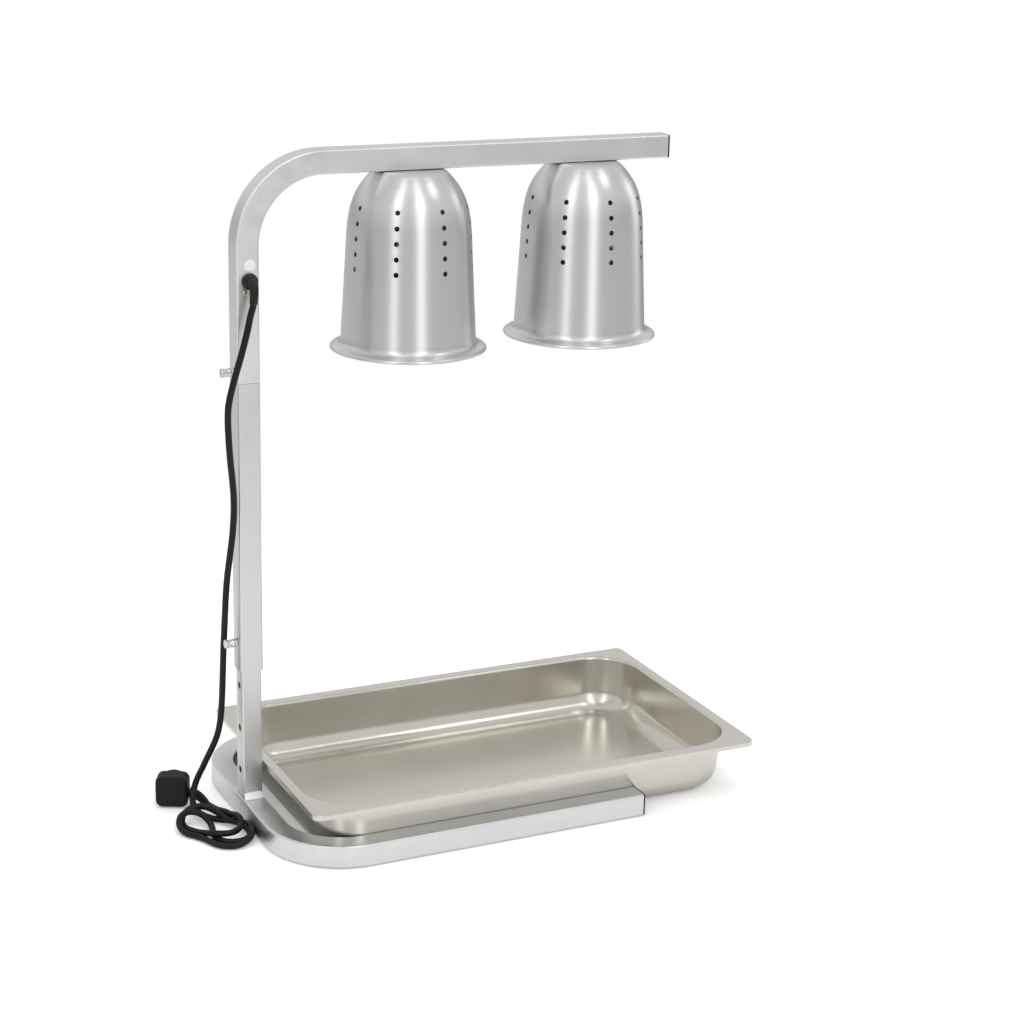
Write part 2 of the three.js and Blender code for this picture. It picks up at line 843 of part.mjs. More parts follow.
// plug: lies on its side, its pins pointing away from the mast
{
  const c = V(-68, 63, 18.7);
  const turn = Math.atan2(0.9, 0.44); // direction of the pins in plan
  const place = (g) => g.rotateZ(turn).translate(c.x, c.y, c.z); // local +X is the pins' way
  const body = new THREE.ExtrudeGeometry(tubeShape(36, 8, 0, 4), {
    depth: 21,
    bevelEnabled: false,
  })
    .rotateY(Math.PI / 2)
    .translate(-12.5, 0, 0);
  const nose = new THREE.CylinderGeometry(16.5, 17.4, 7, 28)
    .rotateZ(-Math.PI / 2)
    .translate(11.0, 0, 0);
  add("plug_body", place(join(body, nose)), BLACK);
  for (const [name, s] of [
    ["plug_pin_a", -1],
    ["plug_pin_b", 1],
  ]) {
    const pin = lathe(
      [
        [0, 14.5 + GAP],
        [2.4, 14.5 + GAP],
        [2.4, 32.6],
        [1.2, 33.6],
        [0, 33.6],
      ],
      14,
    );
    pin.rotateY(Math.PI / 2);
    pin.translate(0, 9.5 * s, 0);
    add(name, place(pin), ZINC);
  }
  add(
    "plug_relief",
    roundBar(
      [
        V(-51.5, 55.0, 15.0),
        V(-47.2, 52.4, 13.6),
        V(-42.9, 48.2, 11.0),
        V(-40.0, 42.6, 8.4),
        V(-38.1, 36.5, 6.15),
      ],
      [6.0, 5.8, 5.3, 4.8, 4.3],
      12,
      V(0.898, -0.439, 0),
      V(1.8, -5.9, -0.4),
    ),
    BLACK,
  );
}

export default root;
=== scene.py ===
# Two-lamp food warmer: fine surfaces, materials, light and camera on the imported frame.
import bpy
import math
import numpy as np
from mathutils import Vector, Matrix


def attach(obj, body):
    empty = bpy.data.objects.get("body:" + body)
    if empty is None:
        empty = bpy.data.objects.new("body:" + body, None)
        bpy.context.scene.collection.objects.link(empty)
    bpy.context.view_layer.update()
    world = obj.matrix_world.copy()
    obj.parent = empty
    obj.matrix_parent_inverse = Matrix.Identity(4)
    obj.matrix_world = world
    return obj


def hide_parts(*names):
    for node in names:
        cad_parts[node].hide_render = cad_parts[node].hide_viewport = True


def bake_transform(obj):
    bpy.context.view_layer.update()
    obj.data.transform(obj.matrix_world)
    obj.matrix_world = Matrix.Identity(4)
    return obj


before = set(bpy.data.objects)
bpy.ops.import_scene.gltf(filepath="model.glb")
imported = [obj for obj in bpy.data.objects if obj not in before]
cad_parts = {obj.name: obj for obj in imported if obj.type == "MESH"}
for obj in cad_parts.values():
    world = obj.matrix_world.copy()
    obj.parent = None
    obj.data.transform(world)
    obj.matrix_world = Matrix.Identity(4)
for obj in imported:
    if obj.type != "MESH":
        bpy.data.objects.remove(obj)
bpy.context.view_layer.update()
scene = bpy.context.scene
CX = 258.9  # the mast's axis stands this far (mm) to -X of the frame's origin


def W(x, y, z):
    """a point given in millimetres from the mast's foot, in the row frame in metres"""
    return Vector(((x - CX) / 1000, y / 1000, z / 1000))


# ------------------------------------------------------------------ camera
def make_camera():
    a, e, r = math.radians(-25.985), math.radians(17.044), math.radians(1.336)
    back = Vector((math.sin(a) * math.cos(e), -math.cos(a) * math.cos(e), math.sin(e)))
    right = Vector((math.cos(a), math.sin(a), 0))
    up = back.cross(right)
    c, s = math.cos(r), math.sin(r)
    m = Matrix((c * right + s * up, -s * right + c * up, back)).transposed().to_4x4()
    m.translation = W(-753.746, -2184.575, 1059.330)
    data = bpy.data.cameras.new("camera")
    data.sensor_width = 36.0
    data.lens = 80.13
    data.clip_end = 50
    cam = bpy.data.objects.new("camera", data)
    cam.matrix_world = m
    scene.collection.objects.link(cam)
    scene.camera = cam


make_camera()

# ------------------------------------------------------------------ node helpers
class Mat:
    """a small helper that writes a procedural material"""

    def __init__(self, name, color, metallic=0.0, rough=0.4, **sockets):
        self.m = bpy.data.materials.new(name)
        self.m.use_nodes = True
        self.t = self.m.node_tree
        self.n = self.t.nodes
        self.b = self.n["Principled BSDF"]
        self.b.inputs["Base Color"].default_value = (*color, 1)
        self.b.inputs["Metallic"].default_value = metallic
        self.b.inputs["Roughness"].default_value = rough
        for k, v in sockets.items():
            self.b.inputs[k.replace("_", " ")].default_value = v

    def add(self, kind, **kw):
        n = self.n.new(kind)
        for k, v in kw.items():
            if k in ("operation", "blend_type", "data_type", "noise_dimensions", "feature", "wave_type", "bands_direction"):
                setattr(n, k, v)
            else:
                n.inputs[k.replace("_", " ")].default_value = v
        return n

    def link(self, a, ao, b, bi):
        self.t.links.new(a.outputs[ao], b.inputs[bi])

    def coords(self, kind="Object", scale=(1, 1, 1), rot=(0, 0, 0)):
        tc = self.n.new("ShaderNodeTexCoord")
        mp = self.n.new("ShaderNodeMapping")
        mp.inputs["Scale"].default_value = scale
        mp.inputs["Rotation"].default_value = rot
        self.t.links.new(tc.outputs[kind], mp.inputs["Vector"])
        return mp

    def noise(self, coord, scale, detail=3, rough=0.5, distortion=0.0):
        n = self.n.new("ShaderNodeTexNoise")
        n.inputs["Scale"].default_value = scale
        n.inputs["Detail"].default_value = detail
        n.inputs["Roughness"].default_value = rough
        n.inputs["Distortion"].default_value = distortion
        self.t.links.new(coord.outputs["Vector"], n.inputs["Vector"])
        return n

    def ramp(self, src, out, lo, hi, a=0.3, b=0.7):
        """map a 0..1 output to lo..hi between a and b"""
        r = self.n.new("ShaderNodeMapRange")
        r.inputs["From Min"].default_value = a
        r.inputs["From Max"].default_value = b
        r.inputs["To Min"].default_value = lo
        r.inputs["To Max"].default_value = hi
        self.t.links.new(src.outputs[out], r.inputs["Value"])
        return r

    def rough_from(self, src, out, lo, hi, a=0.3, b=0.7):
        r = self.ramp(src, out, lo, hi, a, b)
        self.t.links.new(r.outputs["Result"], self.b.inputs["Roughness"])

    def color_from(self, src, out, c1, c2, a=0.3, b=0.7):
        cr = self.n.new("ShaderNodeValToRGB")
        cr.color_ramp.elements[0].position = a
        cr.color_ramp.elements[0].color = (*c1, 1)
        cr.color_ramp.elements[1].position = b
        cr.color_ramp.elements[1].color = (*c2, 1)
        self.t.links.new(src.outputs[out], cr.inputs["Fac"])
        self.t.links.new(cr.outputs["Color"], self.b.inputs["Base Color"])
        return cr

    def bump(self, src, out, strength, distance, prev=None):
        b = self.n.new("ShaderNodeBump")
        b.inputs["Strength"].default_value = strength
        b.inputs["Distance"].default_value = distance
        self.t.links.new(src.outputs[out], b.inputs["Height"])
        if prev is not None:
            self.t.links.new(prev.outputs["Normal"], b.inputs["Normal"])
        self.t.links.new(b.outputs["Normal"], self.b.inputs["Normal"])
        return b


def tube_alu(name="tube_aluminium", level=0.78):
    m = Mat(name, tuple(level * c for c in (0.99, 1.0, 1.01)), 1.0, 0.36)
    uv = m.coords("UV", (18, 900, 1))  # fine drawing lines along the tube
    lines = m.noise(uv, 1.0, 4, 0.6)
    ob = m.coords("Object", (1, 1, 1))
    cloud = m.noise(ob, 16.0, 4, 0.55, 0.3)
    m.rough_from(cloud, "Fac", 0.31, 0.39, 0.33, 0.68)
    m.color_from(cloud, "Fac", tuple(0.975 * level * c for c in (0.985, 1.0, 1.012)), tuple(1.025 * level * c for c in (0.995, 1.0, 1.0)), 0.3, 0.7)
    b1 = m.bump(lines, "Fac", 0.07, 0.0002)
    m.bump(cloud, "Fac", 0.04, 0.0012, b1)
    return m.m


def bend_alu(name, level):
    m = Mat(name, tuple(level * c for c in (0.99, 1.0, 1.01)), 1.0, 0.38)
    uv = m.coords("UV", (26, 260, 1))
    lines = m.noise(uv, 1.0, 4, 0.6)
    ob = m.coords("Object", (1, 1, 1))
    cloud = m.noise(ob, 34.0, 5, 0.6, 0.6)
    m.rough_from(cloud, "Fac", 0.31, 0.40, 0.33, 0.68)
    m.color_from(cloud, "Fac", tuple(0.96 * level * c for c in (0.985, 1.0, 1.012)), tuple(1.04 * level * c for c in (0.995, 1.0, 1.0)), 0.3, 0.7)
    b1 = m.bump(lines, "Fac", 0.12, 0.0004)
    m.bump(cloud, "Fac", 0.09, 0.0016, b1)
    return m.m


def spun_alu():
    m = Mat("spun_aluminium", (0.69, 0.69, 0.688), 1.0, 0.31, Anisotropic=0.5, Anisotropic_Rotation=0.25)
    uv = m.coords("UV", (3.0, 1500, 1))  # lathe lines run round the shade
    lines = m.noise(uv, 1.0, 5, 0.65)
    uv2 = m.coords("UV", (1.2, 210, 1))
    bands = m.noise(uv2, 1.0, 3, 0.5)
    tan = m.n.new("ShaderNodeTangent")
    tan.direction_type = "UV_MAP"
    m.t.links.new(tan.outputs["Tangent"], m.b.inputs["Tangent"])
    m.rough_from(lines, "Fac", 0.295, 0.325, 0.3, 0.7)
    m.color_from(bands, "Fac", (0.680, 0.681, 0.682), (0.700, 0.700, 0.696), 0.3, 0.7)
    m.bump(lines, "Fac", 0.03, 0.00006)
    return m.m


def pan_steel():
    m = Mat("pan_stainless", (0.665, 0.645, 0.595), 1.0, 0.22)
    ob = m.coords("Object", (1, 1, 1))
    cloud = m.noise(ob, 9.0, 3, 0.5)
    fine = m.noise(m.coords("Object", (60, 900, 300)), 1.0, 3, 0.6)
    m.rough_from(cloud, "Fac", 0.195, 0.25, 0.3, 0.7)
    m.color_from(cloud, "Fac", (0.655, 0.632, 0.572), (0.695, 0.676, 0.622), 0.3, 0.7)
    m.bump(fine, "Fac", 0.05, 0.0002)
    return m.m


def polished(name, color, rough, scale=180):
    m = Mat(name, color, 1.0, rough)
    n = m.noise(m.coords("Object"), scale, 4, 0.6)
    m.rough_from(n, "Fac", max(0.285, rough * 0.9), max(0.32, rough * 1.25))
    m.bump(n, "Fac", 0.06, 0.0004)
    return m.m


def plastic(name, color, rough, bump=0.08, scale=2600, spec=0.5, c2=None):
    m = Mat(name, color, 0.0, rough, Specular_IOR_Level=spec)
    n = m.noise(m.coords("Object"), scale, 3, 0.6)
    big = m.noise(m.coords("Object"), 35, 3, 0.5)
    m.rough_from(big, "Fac", rough * 0.85, rough * 1.2)
    m.color_from(big, "Fac", color, c2 or tuple(min(1, c * 1.35) for c in color), 0.35, 0.7)
    m.bump(n, "Fac", bump, 0.0002)
    return m.m


# painted shade: one drawn aluminium is given a different brightness on each part (post 0.71, sleeve 0.70, base 0.75,
# bends 0.76 and 0.765, against the arm's 0.78). These are shaded copies of one metal, standing in for the different
# reflections the parts catch.
M_TUBE = tube_alu()
M_POST_PAINTED_SHADE = tube_alu("post_aluminium_painted_shade", 0.71)
M_SLEEVE_PAINTED_SHADE = tube_alu("sleeve_aluminium_painted_shade", 0.70)
M_BASE_PAINTED_SHADE = tube_alu("base_aluminium_painted_shade", 0.75)
M_BEND = bend_alu("bent_aluminium", 0.76)
M_BASE_BEND = bend_alu("base_bent_aluminium", 0.765)
M_SHADE = spun_alu()
M_PAN = pan_steel()
M_ZINC = polished("nickel_plated", (0.74, 0.74, 0.75), 0.30)
M_WELD = polished("ground_weld", (0.93, 0.93, 0.92), 0.42, 420)
M_WELD.node_tree.nodes["Principled BSDF"].inputs["Metallic"].default_value = 0.25
M_BRASS = polished("brass", (0.62, 0.50, 0.24), 0.33)
M_RIM = polished("passivated_edge", (0.62, 0.54, 0.30), 0.36)
M_CAP = plastic("black_plastic", (0.010, 0.010, 0.011), 0.42, 0.08, 2600, 0.3)
M_GLAND = plastic("black_nylon", (0.007, 0.007, 0.008), 0.34, 0.08, 2600, 0.3)
M_PLUG = plastic("plug_rubber", (0.007, 0.007, 0.0075), 0.48, 0.14, 1500, 0.22)
M_CORD = plastic("cord_sheath", (0.0055, 0.0055, 0.006), 0.34, 0.05, 1900, 0.26)
M_PAD = plastic("pad_rubber", (0.02, 0.02, 0.021), 0.75)
M_LABEL = plastic("white_disc", (0.82, 0.83, 0.84), 0.32, 0.03, 900, 0.5, (0.88, 0.89, 0.9))
M_CERAMIC = plastic("glazed_ceramic", (0.74, 0.72, 0.67), 0.18, 0.04, 300, 0.5, (0.80, 0.78, 0.74))


def bulb_glass():
    m = Mat("silvered_glass", (0.86, 0.84, 0.80), 0.85, 0.16, Coat_Weight=0.8, Coat_Roughness=0.04)
    n = m.noise(m.coords("Object"), 420, 3, 0.6)
    m.rough_from(n, "Fac", 0.12, 0.24)
    m.bump(n, "Fac", 0.08, 0.0006)
    return m.m


M_BULB = bulb_glass()

# ------------------------------------------------------------------ mesh helpers
def build(name, verts, faces, mat, uvs=None, sharp=35, wn=True, flip=False):
    """verts in millimetres from the mast's foot; uvs: one (u, v) per face corner"""
    me = bpy.data.meshes.new(name)
    v = [tuple(W(*p)) for p in verts]
    f = [tuple(reversed(q)) for q in faces] if flip else [tuple(q) for q in faces]
    me.from_pydata(v, [], f)
    if uvs is not None:
        layer = me.uv_layers.new(name="UVMap")
        flat = []
        for q in uvs:
            flat.extend([c for p in (reversed(q) if flip else q) for c in p])
        layer.data.foreach_set("uv", flat)
    me.validate()
    me.polygons.foreach_set("use_smooth", [True] * len(me.polygons))
    if sharp:
        me.set_sharp_from_angle(angle=math.radians(sharp))
    me.materials.append(mat)
    ob = bpy.data.objects.new(name, me)
    scene.collection.objects.link(ob)
    if wn:
        mod = ob.modifiers.new("weighted", "WEIGHTED_NORMAL")
        mod.keep_sharp = True
        mod.weight = 80
    return ob


def bake(ob):
    """apply every modifier"""
    dg = bpy.context.evaluated_depsgraph_get()
    me = bpy.data.meshes.new_from_object(ob.evaluated_get(dg), depsgraph=dg)
    old = ob.data
    ob.modifiers.clear()
    ob.data = me
    bpy.data.meshes.remove(old)
    return ob


def drill(ob, cutters):
    """cut with the given objects, then drop them"""
    wn = [m for m in ob.modifiers if m.type == "WEIGHTED_NORMAL"]
    for m in wn:
        ob.modifiers.remove(m)
    for i, c in enumerate(cutters):
        m = ob.modifiers.new(f"cut{i}", "BOOLEAN")
        m.operation = "DIFFERENCE"
        m.solver = "EXACT"
        m.object = c
    bpy.context.view_layer.update()
    bake(ob)
    ob.data.polygons.foreach_set("use_smooth", [True] * len(ob.data.polygons))
    ob.data.set_sharp_from_angle(angle=math.radians(35))
    mod = ob.modifiers.new("weighted", "WEIGHTED_NORMAL")
    mod.keep_sharp = True
    mod.weight = 80
    for c in cutters:
        bpy.data.objects.remove(c)
    return ob


def square_ring(side, r, seg):
    h = side / 2 - r
    pts = []
    for sx, sy, a0 in ((1, 1, 0), (-1, 1, 90), (-1, -1, 180), (1, -1, 270)):
        for i in range(seg + 1):
            t = math.radians(a0 + 90 * i / seg)
            pts.append((sx * h + r * math.cos(t), sy * h + r * math.sin(t)))
    return pts


def perimeter(pts):
    out = [0.0]
    for i in range(len(pts)):
        a, b = pts[i], pts[(i + 1) % len(pts)]
        out.append(out[-1] + math.hypot(a[0] - b[0], a[1] - b[1]))
    return out


def square_tube(name, stations, side, r, bore, mat, seg=5, bend_mat=None, is_bend=None):
    """stations: (centre, along, across) in mm; the third direction is along x across"""
    outer = square_ring(side, r, seg)
    inner = square_ring(bore, max(0.5, r - 1.2), seg)
    n = len(outer)
    verts, faces, uvs, marks = [], [], [], []
    dist = [0.0]
    for i in range(1, len(stations)):
        dist.append(dist[-1] + (Vector(stations[i][0]) - Vector(stations[i - 1][0])).length)
    for ring in (outer, inner):
        for c, t, b in stations:
            c, t, b = Vector(c), Vector(t).normalized(), Vector(b).normalized()
            a = b.cross(t)
            for x, y in ring:
                verts.append(tuple(c + a * x + b * y))
    m = len(stations)
    for layer, ring in ((0, outer), (1, inner)):
        per = perimeter(ring)
        base = layer * m * n
        for i in range(m - 1):
            for j in range(n):
                k = (j + 1) % n
                q = [base + i * n + j, base + i * n + k, base + (i + 1) * n + k, base + (i + 1) * n + j]
                w = [(dist[i] / 1000, per[j] / 1000), (dist[i] / 1000, per[j + 1] / 1000), (dist[i + 1] / 1000, per[j + 1] / 1000), (dist[i + 1] / 1000, per[j] / 1000)]
                if layer == 1:
                    q, w = q[::-1], w[::-1]
                faces.append(q)
                uvs.append(w)
                marks.append(bool(is_bend and is_bend(i)))
    for end, i in ((0, 0), (1, m - 1)):
        for j in range(n):
            k = (j + 1) % n
            q = [i * n + j, m * n + i * n + j, m * n + i * n + k, i * n + k]
            if end:
                q = q[::-1]
            faces.append(q)
            uvs.append([(0, 0.0)] * 4)
            marks.append(False)
    ob = build(name, verts, faces, mat, uvs, sharp=40)
    if bend_mat is not None:
        ob.data.materials.append(bend_mat)
        ob.data.polygons.foreach_set("material_index", [1 if x else 0 for x in marks])
    fix_normals(ob)
    return ob


def fix_normals(ob):
    import bmesh

    bm = bmesh.new()
    bm.from_mesh(ob.data)
    bmesh.ops.recalc_face_normals(bm, faces=bm.faces)
    bm.to_mesh(ob.data)
    bm.free()
    ob.data.update()


def lathe(name, profile, mat, segs=64, place=None, sharp=35, uv_r=0.02):
    """profile: (radius, z) pairs in mm, turned about +Z and then placed by a function of a point"""
    verts, faces, uvs = [], [], []
    rings = []
    s = [0.0]
    for i in range(1, len(profile)):
        s.append(s[-1] + math.hypot(profile[i][0] - profile[i - 1][0], profile[i][1] - profile[i - 1][1]))
    place = place or (lambda p: p)
    for r, z in profile:
        if r < 1e-6:
            rings.append([len(verts)])
            verts.append(place((0.0, 0.0, z)))
        else:
            rings.append(list(range(len(verts), len(verts) + segs)))
            for k in range(segs):
                a = 2 * math.pi * k / segs
                verts.append(place((r * math.cos(a), r * math.sin(a), z)))
    for i in range(len(rings) - 1):
        A, B = rings[i], rings[i + 1]
        for k in range(segs):
            k2 = (k + 1) % segs
            u0, u1 = k / segs * 2 * math.pi * uv_r, (k + 1) / segs * 2 * math.pi * uv_r
            v0, v1 = s[i] / 1000, s[i + 1] / 1000
            if len(A) == 1 and len(B) == 1:
                continue
            if len(A) == 1:
                faces.append([A[0], B[k2], B[k]])
                uvs.append([(u0, v0), (u1, v1), (u0, v1)])
            elif len(B) == 1:
                faces.append([A[k], A[k2], B[0]])
                uvs.append([(u0, v0), (u1, v0), (u0, v1)])
            else:
                faces.append([A[k], A[k2], B[k2], B[k]])
                uvs.append([(u0, v0), (u1, v0), (u1, v1), (u0, v1)])
    ob = build(name, verts, faces, mat, uvs, sharp=sharp)
    fix_normals(ob)
    return ob


def to_x(sign, y, z, x0=0.0):
    """turn a lathe's +Z to sign * X"""
    return lambda p: (x0 + sign * p[2], y + sign * p[1], z + p[0])


def to_y(sign, x, z, y0=0.0):
    return lambda p: (x + sign * p[0], y0 + sign * p[2], z + p[1])


def loft_rings(name, rings, mat, caps=True, sharp=35):
    n = len(rings[0])
    verts = [tuple(p) for r in rings for p in r]
    faces = []
    for i in range(len(rings) - 1):
        for j in range(n):
            k = (j + 1) % n
            faces.append([i * n + j, i * n + k, (i + 1) * n + k, (i + 1) * n + j])
    if caps:
        faces.append(list(range(n))[::-1])
        faces.append([(len(rings) - 1) * n + j for j in range(n)])
    ob = build(name, verts, faces, mat, None, sharp=sharp)
    fix_normals(ob)
    return ob


def spline(points, step):
    """points of a smooth curve through the given ones, about step apart (mm)"""
    P = np.array(points, float)
    d = np.linalg.norm(np.diff(P, axis=0), axis=1)
    u = np.concatenate([[0], np.cumsum(np.sqrt(d))])
    # centripetal Catmull-Rom through the points
    T = np.zeros_like(P)
    T[0] = (P[1] - P[0]) / (u[1] - u[0])
    T[-1] = (P[-1] - P[-2]) / (u[-1] - u[-2])
    for i in range(1, len(P) - 1):
        T[i] = (P[i] - P[i - 1]) / (u[i] - u[i - 1]) - (P[i + 1] - P[i - 1]) / (u[i + 1] - u[i - 1]) + (P[i + 1] - P[i]) / (u[i + 1] - u[i])
    out = []
    for i in range(len(P) - 1):
        h = u[i + 1] - u[i]
        k = max(2, int(math.ceil(d[i] / step)))
        for j in range(k):
            t = j / k
            h00, h10 = 2 * t**3 - 3 * t**2 + 1, t**3 - 2 * t**2 + t
            h01, h11 = -2 * t**3 + 3 * t**2, t**3 - t**2
            out.append(h00 * P[i] + h10 * h * T[i] + h01 * P[i + 1] + h11 * h * T[i + 1])
    out.append(P[-1])
    return np.array(out)


def round_tube(name, pts, radius, mat, segs=16, sharp=50, caps=True):
    """a tube along points; radius is a number or one per point"""
    n = len(pts)
    rad = np.full(n, float(radius)) if np.isscalar(radius) else np.array(radius, float)
    t = np.gradient(pts, axis=0)
    t /= np.linalg.norm(t, axis=1)[:, None]
    nrm = np.cross(t[0], [0, 0, 1.0])
    if np.linalg.norm(nrm) < 0.1:
        nrm = np.cross(t[0], [1.0, 0, 0])
    verts, faces, uvs = [], [], []
    dist = np.concatenate([[0], np.cumsum(np.linalg.norm(np.diff(pts, axis=0), axis=1))])
    for i in range(n):
        nrm = nrm - t[i] * np.dot(nrm, t[i])
        nrm /= np.linalg.norm(nrm)
        bi = np.cross(t[i], nrm)
        for k in range(segs):
            a = 2 * math.pi * k / segs
            verts.append(tuple(pts[i] + rad[i] * (math.cos(a) * nrm + math.sin(a) * bi)))
    for i in range(n - 1):
        for k in range(segs):
            k2 = (k + 1) % segs
            faces.append([i * segs + k, i * segs + k2, (i + 1) * segs + k2, (i + 1) * segs + k])
            uvs.append([(dist[i] / 1000, k / segs * 0.022), (dist[i] / 1000, (k + 1) / segs * 0.022), (dist[i + 1] / 1000, (k + 1) / segs * 0.022), (dist[i + 1] / 1000, k / segs * 0.022)])
    if caps:
        faces.append(list(range(segs))[::-1])
        uvs.append([(0, 0)] * segs)
        faces.append([(n - 1) * segs + k for k in range(segs)])
        uvs.append([(0, 0)] * segs)
    ob = build(name, verts, faces, mat, uvs, sharp=sharp, wn=False)
    fix_normals(ob)
    return ob


